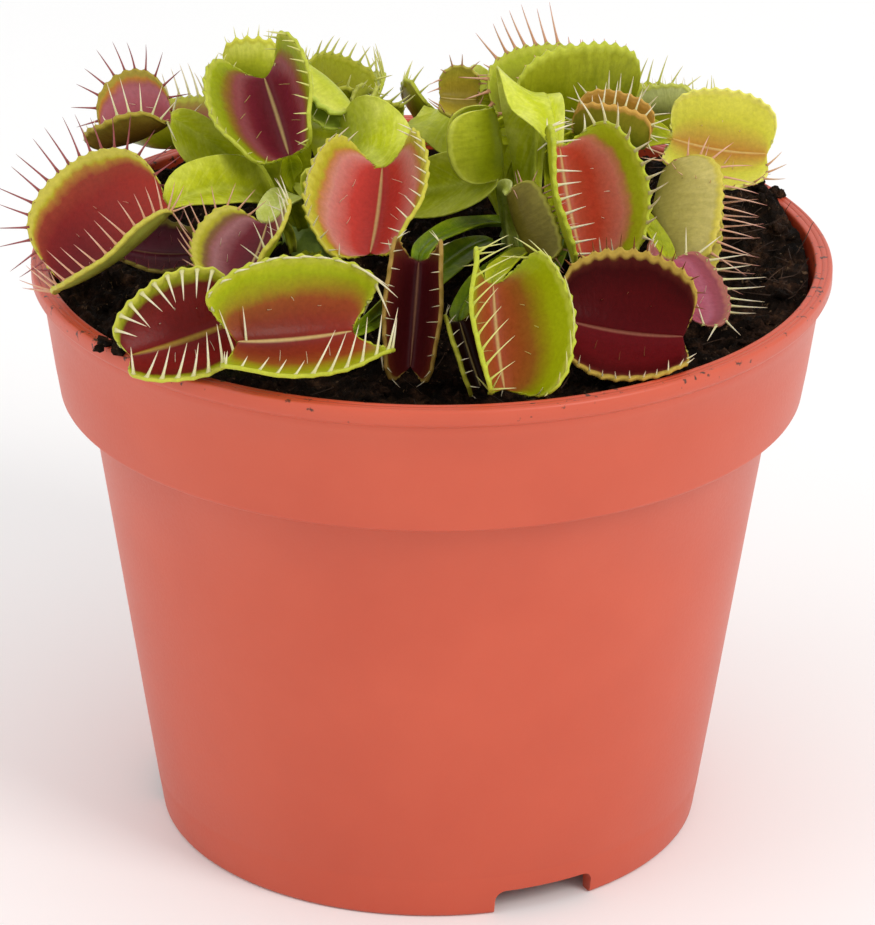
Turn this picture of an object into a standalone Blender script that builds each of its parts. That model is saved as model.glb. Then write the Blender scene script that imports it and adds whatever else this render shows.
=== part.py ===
"""A Venus flytrap in a 90 mm nursery pot.

Metres, +Z up. The origin is the middle of the pot's foot, on the surface it stands on, and the
pot's front faces -Y. The plant is two rosettes of leaves. Each leaf is one solid: a winged stalk
that narrows to a neck and then opens into the trap, two lobes joined along a midrib.
"""

import math
from collections import namedtuple

import bmesh
import bpy
import numpy as np
from mathutils import Vector, noise

MM = 0.001
GAP = 0.3 * MM

# Pot: moulded, with a collar at the top and a foot ring below a raised floor.
RIM_RADIUS = 45.0 * MM
POT_HEIGHT = 68.0 * MM
WALL = 1.2 * MM
LIP_WIDTH = 2.0 * MM
LIP_DEPTH = 1.5 * MM
EDGE = 0.4 * MM
COLLAR_HEIGHT = 15.4 * MM
COLLAR_TOP_RADIUS = 44.2 * MM
COLLAR_FOOT_RADIUS = 42.1 * MM
BODY_TOP_RADIUS = 38.8 * MM
FOOT_RADIUS = 31.2 * MM
FOOT_WIDTH = 1.8 * MM
FOOT_ROUNDING = 0.6 * MM
FLOOR_UNDERSIDE = 5.2 * MM
FLOOR_TOP = FLOOR_UNDERSIDE + WALL
POT_STEPS = 72

# Openings in the pot: three notches round the foot ring, and holes through the floor.
NOTCH_COUNT = 3
NOTCH_BEARING = math.radians(-65)
NOTCH_WIDTH = 12.0 * MM
NOTCH_HEIGHT = 3.0 * MM
NOTCH_ROUNDING = 1.2 * MM
DRAIN_RADIUS = 3.5 * MM
DRAIN_CIRCLE = 19.0 * MM
DRAIN_COUNT = 5
DRAIN_SIDES = 20

# Soil: fills the pot to a little below the rim, higher at the back right.
SOIL_LEVEL = 63.6 * MM
SOIL_STEPS = 48
SOIL_RINGS = 8
SOIL_GAP = 2 * GAP
SOIL_LUMP = 0.7 * MM
SOIL_LUMP_SIZE = 9.0 * MM
MOUND_HEIGHT = 2.4 * MM
MOUND_CENTRE = (32.0 * MM, 20.0 * MM)
MOUND_SPREAD = 14.0 * MM

# Crowns: the short stems, half sunk in the soil, that the leaves grow from.
CROWN_RADIUS = 4.6 * MM
CROWN_RISE = 4.3 * MM
CROWN_SIDES = 16
CROWN_RINGS = 10
CROWN_LEVEL = SOIL_LEVEL + 0.4 * MM
CROWNS = {"left": (-13.0, 12.0), "right": (12.0, 12.0)}

# Leaves: the overall colour of each kind, and how glossy and how soft to light they all are.
LEAF_COLOURS = {
    "red": (0.42, 0.12, 0.05),
    "maroon": (0.16, 0.025, 0.03),
    "green": (0.26, 0.40, 0.04),
    "lime": (0.50, 0.60, 0.06),
    "khaki": (0.34, 0.30, 0.07),
}
LEAF_ROUGHNESS = 0.45
LEAF_SOFTNESS = 0.2

# Leaves: the grid of each blade, and the shape that every leaf shares.
BLADE = 0.7 * MM
STALK_ROWS = 5
TRAP_ROWS = 7
ACROSS = (0.0, 0.14, 0.55, 1.0)
STALK_FOOT_WIDTH = 1.5
STALK_SHARE = 0.95
STALK_LEAD = 2.0
RING_RADIUS = (5.2, 3.6)
RING_HEIGHT = (0.9, 3.2)
NECK_WIDTH = 1.1
WING_SKEW = 1.5
WING_FULLNESS = 0.65
WING_LIFT = 0.35
HINGE_RADIUS = 0.9
LOBE_SQUARENESS = 0.8
LOBE_CUP = 25.0
END_CUP = 0.15
MIDRIB_BOW = 0.06
NECK_TURN = math.radians(3)
TIP_TURN = math.radians(175)

# The way a turned stalk blade faces: out of the pot's front and up.
FRONT = np.array([0.0, -0.82, 0.57])

# One row for each leaf, in millimetres and degrees. Crown and ring say where it grows (ring 0 low
# and outside, 1 high and inside) and bearing which way it leaves. The trap begins at base, and
# heading, pitch and roll turn its midrib. The gapes say how far its lobes stand from the direction
# it opens in, bulge how far they reach past the midrib's ends, and taper how much taller they are
# at the neck than at the tip. Wing, turned, rise and reach shape the stalk: how wide its blade is,
# how far its face turns towards the front, how high it climbs and how long it runs straight into
# the trap.
Leaf = namedtuple(
    "Leaf",
    "crown ring bearing base heading pitch roll gape_left gape_right length width bulge "
    "taper wing turned rise reach colour",
)
LEAF_ROWS = {
    "far_left": ("left", 0, 236, (-29, -11.2, 77.3), 190, -34, -5,
        60, 52, 14.3, 12.5, 0.5, 0, 6.5, 0.8, 10, 5, "red"),
    "upper_left": ("left", 1, 209, (-29.5, 5.5, 81.5), 165, -26, -15,
        37, 39, 8.8, 7.8, 0.3, 0, 6.5, 1, 5, 1, "maroon"),
    "low_left": ("left", 0, 205, (-27, -9, 71), 180, 5, -17,
        70, 70, 7, 4.6, 0.8, 0, 3.5, 0, 2, 5.5, "maroon"),
    "mid_left": ("left", 0, 297, (-18, -12.5, 76), 250, -28, 18,
        50, 54, 8.2, 7.4, 0.9, 0, 5, 0, 9, 6, "maroon"),
    "front_left": ("left", 0, 264, (-21.5, -30, 71.5), 200, -11, -40,
        55, 58, 11.3, 7.2, 0.7, 0.3, 2, 0, 1, 6, "red"),
    "front": ("right", 0, 196, (-8.5, -32, 71.5), 199, 2, -41,
        50, 52, 12.7, 9.1, 1.4, 0, 2, 0, 2, 2, "red"),
    "centre": ("left", 1, 278, (-5.5, -5.5, 80), 264, -27, 10,
        46, 47, 12.5, 8.9, 1.1, 0, 10, 0.9, 15, 1.5, "red"),
    "narrow": ("right", 1, 198, (-1.4, -21.5, 75.3), 262, -58, -5,
        19, 19, 11.5, 7.5, 1, 0.4, 1.5, 0, 1, 3.5, "maroon"),
    "front_right": ("right", 0, 273, (6.5, -28.5, 75.5), 278, -44, -10,
        38, 27, 12, 9.7, 1.1, 0, 1.2, 0, 2.5, 2.5, "red"),
    "behind_front": ("right", 0, 253, (3, -25.5, 70), 296, -46, 12,
        18, 18, 8.6, 5.8, 0.5, 0, 1.5, 0, 2.5, 2, "khaki"),
    "right": ("right", 1, 264, (14, -4, 82), 290, -55, -4,
        40, 24, 12.3, 9.8, 0.9, 0, 3, 0, 25, 6, "red"),
    "khaki": ("right", 0, 339, (25, -7, 69.5), 83, 40, 92,
        20, 20, 12, 8.5, 0.6, 0, 3, 0, 2, 5.5, "khaki"),
    "maroon": ("right", 0, 295, (14.5, -27.5, 71), -5, -6, 28,
        52, 70, 12.6, 9, 0.6, 0, 2.5, 0, 1, 5.5, "maroon"),
    "low_right": ("right", 0, 315, (26, -12.5, 72), 288, -28, -26,
        65, 64, 8.4, 5.7, 0.9, 0, 2.5, 0, 9.5, 8, "maroon"),
    "far_right": ("right", 0, -3, (27, 7, 79), -9, -6, 23,
        39, 80, 10.8, 7.1, 0.5, 0, 5, 0, 8, 8, "lime"),
    "back_right": ("right", 1, 174, (8.5, 11, 79.5), 30, -4, -17,
        27, 26, 15.8, 10.6, 0.35, 0, 4, 0, 11, 3, "lime"),
    "olive": ("right", 1, 359, (16, 4, 81), -9, -9, 0,
        14, 14, 8, 6, 0.5, 0, 2.5, 0, 7.5, 2, "khaki"),
    "grey": ("right", 0, 24, (24.5, 18, 78.5), -9, 9, -22,
        13, 12, 4.8, 3.4, 0.8, 0, 3, 0, 7, 5, "khaki"),
    "top_left": ("left", 1, 236, (-16, 0, 79.5), 108, 31, -25,
        39, 33, 11.2, 9.4, 1, 0, 1.2, 0, 4, 1, "red"),
    "behind_top": ("left", 1, 175, (-17, 12.5, 84.5), 171, -3, 24,
        25, 25, 6.3, 5.2, 0.5, 0, 2.5, 0, 7, 4.5, "lime"),
    "back_left": ("left", 1, 125, (-13.5, 17, 80), 39, -25, 17,
        41, 41, 8.9, 6.7, 0.9, 0, 3, 0, 8, 4, "green"),
    "closed_left": ("left", 1, 313, (-9, 7.5, 82), 138, 28, -96,
        3, 3, 7.1, 5.1, 0.6, 0, 3, 0, 9.5, 5.5, "lime"),
    "yellow": ("right", 1, 133, (5, 15.5, 80.5), 185, 5, -48,
        45, 45, 4.2, 4, 0.5, 0, 4.5, 0, 6, 8.5, "green"),
    "small_khaki": ("right", 0, 235, (8.5, -8, 78), 307, -51, -65,
        16, 16, 8, 4.4, 0.6, 0, 1.2, 0, 9, 1, "khaki"),
    "young": ("left", 1, 345, (7.5, 1.5, 76.5), 140, 80, -140,
        4, 4, 8, 6.2, 0.3, 0, 6, 0.9, 4, 1, "green"),
    "curled": ("right", 1, 302, (13, 10.5, 76.5), 20, 20, 0,
        8, 8, 4, 2.6, 0.4, 0, 1.2, 0, 1.5, 1, "green"),
    "tiny": ("left", 1, 15, (-8, 12.5, 80), 60, 38, 0,
        10, 10, 3, 2.2, 0.5, 0, 2, 0, 6, 3, "green"),
    "rear_left": ("left", 0, 144, (-27, 22, 73), 140, -15, 0,
        45, 45, 10, 7, 0.8, 0, 6, 0, 7, 6, "red"),
    "rear_mid_left": ("left", 0, 60, (-9.5, 26.5, 74), 100, -12, 0,
        40, 40, 10, 7, 0.8, 0, 10, 0.85, 11, 5, "green"),
    "rear_mid_right": ("right", 0, 130, (1, 26.5, 75), 85, -45, 0,
        42, 42, 10, 7.5, 0.8, 0, 10, 0.85, 11, 5, "red"),
    "rear_right": ("right", 0, 55, (23, 25, 73), 40, -8, 0,
        42, 42, 10, 7, 0.8, 0, 5, 0, 4.5, 2.5, "green"),
}
LEAVES = {name: Leaf(*row) for name, row in LEAF_ROWS.items()}


def principled(name, colour, roughness, subsurface=0.0):
    """A plain material of this colour, roughness and softness to light."""
    material = bpy.data.materials.new(name)
    material.use_nodes = True
    shader = material.node_tree.nodes["Principled BSDF"]
    shader.inputs["Base Color"].default_value = (*colour, 1.0)
    shader.inputs["Roughness"].default_value = roughness
    shader.inputs["Metallic"].default_value = 0.0
    shader.inputs["Subsurface Weight"].default_value = subsurface
    material.diffuse_color = (*colour, 1.0)
    return material


def clear_scene():
    for item in list(bpy.data.objects):
        bpy.data.objects.remove(item, do_unlink=True)


def new_collection(name):
    collection = bpy.data.collections.new(name)
    bpy.context.scene.collection.children.link(collection)
    return collection


def add_object(name, mesh, collection, material=None):
    item = bpy.data.objects.new(name, mesh)
    collection.objects.link(item)
    if material:
        item.data.materials.append(material)
    return item


def smooth(item, degrees=40):
    item.data.shade_smooth()
    item.data.set_sharp_from_angle(angle=math.radians(degrees))


def turned(name, profile, steps, collection, material=None):
    """The profile, (radius, height) points running down its outer side, turned about Z."""
    mesh = bpy.data.meshes.new(name)
    points = [(radius, 0.0, height) for radius, height in profile]
    edges = [(i, i + 1) for i in range(len(points) - 1)]
    mesh.from_pydata(points, edges, [])
    item = add_object(name, mesh, collection, material)
    screw = item.modifiers.new("turn", "SCREW")
    screw.axis = "Z"
    screw.steps = steps
    screw.render_steps = steps
    screw.use_merge_vertices = True
    screw.merge_threshold = 0.00001
    screw.use_smooth_shade = True
    return item


def applied(item):
    """Replace the object's mesh by its evaluated one, so that its vertices can be moved."""
    bpy.context.view_layer.update()
    graph = bpy.context.evaluated_depsgraph_get()
    mesh = bpy.data.meshes.new_from_object(item.evaluated_get(graph))
    old = item.data
    item.modifiers.clear()
    item.data = mesh
    bpy.data.meshes.remove(old)
    return item


def cut(item, cutters):
    for cutter in cutters:
        boolean = item.modifiers.new(f"cut {cutter.name}", "BOOLEAN")
        boolean.operation = "DIFFERENCE"
        boolean.solver = "EXACT"
        boolean.object = cutter


def as_cutter(item):
    item.hide_render = True
    item.display_type = "WIRE"
    return item


def inner_radius(height):
    """The pot's inside radius at a height, with the step where the collar begins."""
    step = POT_HEIGHT - COLLAR_HEIGHT
    if height >= step:
        share = (height - step) / COLLAR_HEIGHT
        return COLLAR_FOOT_RADIUS + (COLLAR_TOP_RADIUS - COLLAR_FOOT_RADIUS) * share - WALL
    return FOOT_RADIUS + (BODY_TOP_RADIUS - FOOT_RADIUS) * height / step - WALL


def pot_profile():
    step = POT_HEIGHT - COLLAR_HEIGHT
    lip_inside = RIM_RADIUS - LIP_WIDTH
    inside = [
        (0.0, FLOOR_TOP),
        (inner_radius(FLOOR_TOP), FLOOR_TOP),
        (inner_radius(step - WALL), step - WALL),
        (inner_radius(step), step + WALL / 2),
        (lip_inside - EDGE / 2, POT_HEIGHT - LIP_DEPTH),
        (lip_inside, POT_HEIGHT - EDGE),
    ]
    lip = [
        (lip_inside + EDGE, POT_HEIGHT),
        (RIM_RADIUS - EDGE, POT_HEIGHT),
        (RIM_RADIUS, POT_HEIGHT - EDGE),
        (RIM_RADIUS, POT_HEIGHT - LIP_DEPTH),
        (COLLAR_TOP_RADIUS, POT_HEIGHT - LIP_DEPTH - EDGE * 2),
    ]
    outside = [
        (COLLAR_FOOT_RADIUS, step + EDGE),
        (COLLAR_FOOT_RADIUS - EDGE, step),
        (BODY_TOP_RADIUS, step),
        (FOOT_RADIUS, FOOT_ROUNDING),
        (FOOT_RADIUS - FOOT_ROUNDING, 0.0),
    ]
    underside = [
        (FOOT_RADIUS - FOOT_WIDTH, 0.0),
        (FOOT_RADIUS - FOOT_WIDTH, FLOOR_UNDERSIDE),
        (0.0, FLOOR_UNDERSIDE),
    ]
    return inside + lip + outside + underside


def notch_cutter(number, cutters):
    """A block with rounded upper edges that opens one notch in the foot ring."""
    bm = bmesh.new()
    bmesh.ops.create_cube(bm, size=1.0)
    depth = FOOT_WIDTH * 3
    bmesh.ops.scale(bm, vec=(depth, NOTCH_WIDTH, NOTCH_HEIGHT * 2), verts=bm.verts)
    mesh = bpy.data.meshes.new(f"notch_{number}")
    bm.to_mesh(mesh)
    bm.free()
    item = as_cutter(add_object(f"notch_{number}", mesh, cutters))
    bevel = item.modifiers.new("round", "BEVEL")
    bevel.width = NOTCH_ROUNDING
    bevel.segments = 3
    bearing = NOTCH_BEARING + number * 2 * math.pi / NOTCH_COUNT
    radius = FOOT_RADIUS - FOOT_WIDTH / 2
    item.location = (radius * math.cos(bearing), radius * math.sin(bearing), 0.0)
    item.rotation_euler = (0.0, 0.0, bearing)
    return item


def drain_cutter(number, place, cutters):
    bm = bmesh.new()
    bmesh.ops.create_cone(
        bm,
        cap_ends=True,
        segments=DRAIN_SIDES,
        radius1=DRAIN_RADIUS,
        radius2=DRAIN_RADIUS,
        depth=WALL * 4,
    )
    mesh = bpy.data.meshes.new(f"drain_{number}")
    bm.to_mesh(mesh)
    bm.free()
    item = as_cutter(add_object(f"drain_{number}", mesh, cutters))
    item.location = (place[0], place[1], FLOOR_UNDERSIDE + WALL / 2)
    return item


def make_pot(parts, cutters):
    plastic = principled("terracotta_plastic", (0.62, 0.13, 0.07), 0.42)
    pot = turned("pot", pot_profile(), POT_STEPS, parts, plastic)
    notches = [notch_cutter(number, cutters) for number in range(NOTCH_COUNT)]
    places = [(0.0, 0.0)]
    for number in range(DRAIN_COUNT):
        bearing = 2 * math.pi * number / DRAIN_COUNT
        places.append((DRAIN_CIRCLE * math.cos(bearing), DRAIN_CIRCLE * math.sin(bearing)))
    drains = [drain_cutter(number, place, cutters) for number, place in enumerate(places)]
    cut(pot, notches + drains)
    smooth(pot)
    return pot


def soil_height(x, y):
    """How far the soil's surface lies above its level here."""
    lump = noise.noise(Vector((x, y, 0.0)) / SOIL_LUMP_SIZE) * SOIL_LUMP
    away = math.hypot(x - MOUND_CENTRE[0], y - MOUND_CENTRE[1])
    mound = MOUND_HEIGHT * math.exp(-((away / MOUND_SPREAD) ** 2))
    return lump + mound


def make_soil(parts, cutters):
    peat = principled("peat", (0.022, 0.015, 0.011), 0.95)
    step = POT_HEIGHT - COLLAR_HEIGHT
    top_radius = inner_radius(SOIL_LEVEL) - SOIL_GAP
    top = [(top_radius * ring / SOIL_RINGS, SOIL_LEVEL) for ring in range(SOIL_RINGS + 1)]
    side = [
        (inner_radius(step) - SOIL_GAP, step + WALL + GAP),
        (inner_radius(step - WALL) - SOIL_GAP, step - WALL),
        (inner_radius(FLOOR_TOP) - SOIL_GAP, FLOOR_TOP + GAP),
        (0.0, FLOOR_TOP + GAP),
    ]
    soil = applied(turned("soil", top + side, SOIL_STEPS, parts, peat))
    for vertex in soil.data.vertices:
        if vertex.co.z > SOIL_LEVEL - EDGE:
            vertex.co.z += soil_height(vertex.co.x, vertex.co.y)
    cut(soil, [as_cutter(crown_shape(f"dish_{name}", name, cutters, GAP)) for name in CROWNS])
    smooth(soil, 60)
    return soil


def crown_shape(name, side, collection, margin=0.0, material=None):
    """A flattened ball standing half out of the soil, or its hollow, wider by the margin."""
    bm = bmesh.new()
    bmesh.ops.create_uvsphere(bm, u_segments=CROWN_SIDES, v_segments=CROWN_RINGS, radius=1.0)
    sizes = (CROWN_RADIUS + margin, CROWN_RADIUS + margin, CROWN_RISE + margin)
    bmesh.ops.scale(bm, vec=sizes, verts=bm.verts)
    mesh = bpy.data.meshes.new(name)
    bm.to_mesh(mesh)
    bm.free()
    item = add_object(name, mesh, collection, material)
    x, y = CROWNS[side]
    item.location = (x * MM, y * MM, CROWN_LEVEL)
    smooth(item)
    return item


def unit(vector):
    vector = np.asarray(vector, float)
    return vector / np.linalg.norm(vector)


def trap_axes(heading, pitch, roll):
    """Unit vectors along the midrib, towards the opening and towards the right lobe."""
    heading, pitch, roll = np.radians([heading, pitch, roll])
    along = np.array(
        [
            np.cos(pitch) * np.cos(heading),
            np.cos(pitch) * np.sin(heading),
            np.sin(pitch),
        ]
    )
    upward = unit(np.array([0.0, 0.0, 1.0]) - along * along[2])
    opening = np.cos(roll) * upward + np.sin(roll) * np.cross(along, upward)
    return along, opening, np.cross(along, opening)


def lobe_reach(distance, gape, width):
    """How far a lobe reaches towards the opening and sideways, this far from the midrib."""
    steps = np.linspace(0.0, distance, 25)
    middle = (steps[1:] + steps[:-1]) / 2
    hinge = (90.0 - gape - LOBE_CUP / 2) * np.exp(-middle / HINGE_RADIUS)
    lean = np.radians(gape + LOBE_CUP * (0.5 - middle / width) + hinge)
    step = distance / len(middle)
    return np.cos(lean).sum() * step, np.sin(lean).sum() * step


def trap_point(leaf, turn, across):
    """A point of the trap: turn runs from 0 at its neck to pi at its tip, across from -1 to 1."""
    along, opening, sideways = trap_axes(leaf.heading, leaf.pitch, leaf.roll)
    share = abs(across)
    at_hinge = leaf.length * (1 - np.cos(turn)) / 2
    at_margin = leaf.length / 2 * (1 - (1 + leaf.bulge * np.sin(turn)) * np.cos(turn))
    forward = at_hinge + (at_margin - at_hinge) * share
    full = np.sin(turn) ** LOBE_SQUARENESS * (1 + leaf.taper * np.cos(turn))
    distance = leaf.width * full * share
    gape = leaf.gape_right if across > 0 else leaf.gape_left
    up, out = lobe_reach(distance, gape, leaf.width)
    end = 2 * forward / leaf.length - 1
    out *= 1 - END_CUP * end * end * distance / leaf.width
    sag = MIDRIB_BOW * leaf.length * (1 - min(end * end, 1.0))
    return (
        np.array(leaf.base, float)
        + along * forward
        + opening * (up - sag)
        + sideways * out * np.sign(across)
    )


def bezier(corners, t):
    a, b, c, d = corners
    return (1 - t) ** 3 * a + 3 * (1 - t) ** 2 * t * b + 3 * (1 - t) * t * t * c + t**3 * d


def stalk_rows(leaf, across):
    """Rows of points along the winged stalk, from the crown to just short of the trap's neck."""
    along, _, sideways = trap_axes(leaf.heading, leaf.pitch, leaf.roll)
    bearing = math.radians(leaf.bearing)
    outward = np.array([math.cos(bearing), math.sin(bearing), 0.0])
    crown = np.array([*CROWNS[leaf.crown], CROWN_LEVEL / MM + RING_HEIGHT[leaf.ring]])
    start = crown + outward * RING_RADIUS[leaf.ring]
    end = np.array(leaf.base, float)
    lift = outward * STALK_LEAD + np.array([0.0, 0.0, leaf.rise])
    corners = (start, start + lift, end - along * leaf.reach, end)
    level = np.cross(outward, [0.0, 0.0, 1.0])
    rows = []
    for t in np.linspace(0.0, STALK_SHARE, STALK_ROWS):
        centre = bezier(corners, t)
        forward = unit(bezier(corners, t + 0.02) - bezier(corners, t - 0.02))
        turned_in = t * t * (3 - 2 * t)
        side_way = level * (1 - turned_in) + sideways * turned_in
        side_way = unit(side_way - forward * (side_way @ forward))
        spread = math.sin(math.pi * t**WING_SKEW) ** WING_FULLNESS
        if leaf.turned:
            wanted = unit(np.cross(forward, FRONT))
            side_way = unit(side_way * (1 - spread * leaf.turned) + wanted * spread * leaf.turned)
            side_way = unit(side_way - forward * (side_way @ forward))
        upper = np.cross(side_way, forward)
        plain = STALK_FOOT_WIDTH + (NECK_WIDTH - STALK_FOOT_WIDTH) * t
        half = (plain + leaf.wing * spread) / 2
        rows.append(
            [
                centre + side_way * share * half + upper * WING_LIFT * half * abs(share) ** 1.5
                for share in across
            ]
        )
    return rows


def leaf_rows(leaf):
    across = [-share for share in ACROSS[:0:-1]] + list(ACROSS)
    rows = stalk_rows(leaf, across)
    for turn in np.linspace(NECK_TURN, TIP_TURN, TRAP_ROWS):
        rows.append([trap_point(leaf, turn, share) for share in across])
    return np.array(rows) * MM


def make_leaf(name, leaf, parts):
    """One leaf: a flat grid bent to its rows, then given the blade's thickness."""
    rows = leaf_rows(leaf)
    long, wide = rows.shape[0] - 1, rows.shape[1] - 1
    bm = bmesh.new()
    bmesh.ops.create_grid(bm, x_segments=long, y_segments=wide, size=1.0)
    for vertex in bm.verts:
        i = round((vertex.co.x + 1) / 2 * long)
        j = round((vertex.co.y + 1) / 2 * wide)
        vertex.co = Vector(rows[i, j])
    mesh = bpy.data.meshes.new(name)
    bm.to_mesh(mesh)
    bm.free()
    material = principled(name, LEAF_COLOURS[leaf.colour], LEAF_ROUGHNESS, LEAF_SOFTNESS)
    item = add_object(name, mesh, parts, material)
    blade = item.modifiers.new("blade", "SOLIDIFY")
    blade.thickness = BLADE
    blade.offset = 0.0
    blade.use_even_offset = True
    smooth(item, 60)
    return item


def main():
    clear_scene()
    parts = new_collection("potted_venus_flytrap")
    cutters = new_collection("cutters")
    make_pot(parts, cutters)
    make_soil(parts, cutters)
    stem = principled("crown_green", (0.20, 0.30, 0.05), 0.6, 0.1)
    for side in CROWNS:
        crown_shape(f"crown_{side}", side, parts, material=stem)
    for name, leaf in LEAVES.items():
        make_leaf(f"leaf_{name}", leaf, parts)


main()
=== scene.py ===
"""The potted Venus flytrap's looks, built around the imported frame.

Every piece is made by mesh code in metres, in the frame's own coordinates. The leaves repeat the
rows of numbers that their CAD solids are made from, with finer blades, teeth and trigger hairs.
"""

from collections import namedtuple
from math import atan2, cos, degrees, exp, hypot, pi, radians, sin, sqrt

import bmesh
import bpy
import numpy as np
from mathutils import Matrix, Vector, noise


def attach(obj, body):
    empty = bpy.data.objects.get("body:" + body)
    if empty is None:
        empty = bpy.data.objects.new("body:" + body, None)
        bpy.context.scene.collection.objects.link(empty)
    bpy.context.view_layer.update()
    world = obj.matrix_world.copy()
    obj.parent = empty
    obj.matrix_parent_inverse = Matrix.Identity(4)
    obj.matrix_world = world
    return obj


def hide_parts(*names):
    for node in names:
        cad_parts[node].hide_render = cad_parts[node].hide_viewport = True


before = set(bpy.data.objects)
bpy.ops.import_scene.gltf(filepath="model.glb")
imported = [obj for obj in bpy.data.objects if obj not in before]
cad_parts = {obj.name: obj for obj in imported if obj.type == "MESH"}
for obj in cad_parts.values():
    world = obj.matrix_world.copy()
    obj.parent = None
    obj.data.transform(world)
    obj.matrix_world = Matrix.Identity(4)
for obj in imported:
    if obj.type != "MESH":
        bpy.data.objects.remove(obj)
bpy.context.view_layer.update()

MM = 0.001
GAP = 0.3 * MM

# Pot, as in the CAD.
RIM_RADIUS = 45.0 * MM
POT_HEIGHT = 68.0 * MM
WALL = 1.2 * MM
LIP_WIDTH = 2.0 * MM
LIP_DEPTH = 1.5 * MM
EDGE = 0.4 * MM
LIP_ROUNDING = 0.35 * MM
STEP_ROUNDING = 0.6 * MM
COLLAR_HEIGHT = 15.4 * MM
COLLAR_TOP_RADIUS = 44.2 * MM
COLLAR_FOOT_RADIUS = 42.1 * MM
BODY_TOP_RADIUS = 38.8 * MM
FOOT_RADIUS = 31.2 * MM
FOOT_WIDTH = 1.8 * MM
FOOT_ROUNDING = 0.6 * MM
FLOOR_UNDERSIDE = 5.2 * MM
FLOOR_TOP = FLOOR_UNDERSIDE + WALL
STEP_LEVEL = POT_HEIGHT - COLLAR_HEIGHT
POT_STEPS = 216
POT_SHADE_HEIGHT = 30.0 * MM
NOTCH_COUNT = 3
NOTCH_BEARING = radians(-65)
NOTCH_WIDTH = 12.0 * MM
NOTCH_HEIGHT = 3.0 * MM
DRAIN_RADIUS = 3.5 * MM
DRAIN_CIRCLE = 19.0 * MM
DRAIN_COUNT = 5

# Soil.
SOIL_LEVEL = 63.6 * MM
SOIL_LUMP = 0.7 * MM
SOIL_LUMP_SIZE = 9.0 * MM
MOUND_HEIGHT = 2.4 * MM
MOUND_CENTRE = (32.0 * MM, 20.0 * MM)
MOUND_SPREAD = 14.0 * MM

# Crowns.
CROWN_RADIUS = 4.6 * MM
CROWN_RISE = 4.3 * MM
CROWN_LEVEL = SOIL_LEVEL + 0.4 * MM
CROWNS = {"left": (-13.0, 12.0), "right": (12.0, 12.0)}

# The shape that every leaf shares, as in the CAD.
STALK_FOOT_WIDTH = 1.5
STALK_SHARE = 0.97
STALK_LEAD = 2.0
RING_RADIUS = (5.2, 3.6)
RING_HEIGHT = (0.9, 3.2)
NECK_WIDTH = 1.1
WING_SKEW = 1.5
WING_FULLNESS = 0.65
FRONT = np.array([0.0, -0.82, 0.57])
UP = np.array([0.0, 0.0, 1.0])
WING_LIFT = 0.35
HINGE_RADIUS = 0.9
LOBE_SQUARENESS = 0.8
LOBE_CUP = 25.0
END_CUP = 0.15
MIDRIB_BOW = 0.06
NECK_TURN = radians(3)
TIP_TURN = radians(175)

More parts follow.
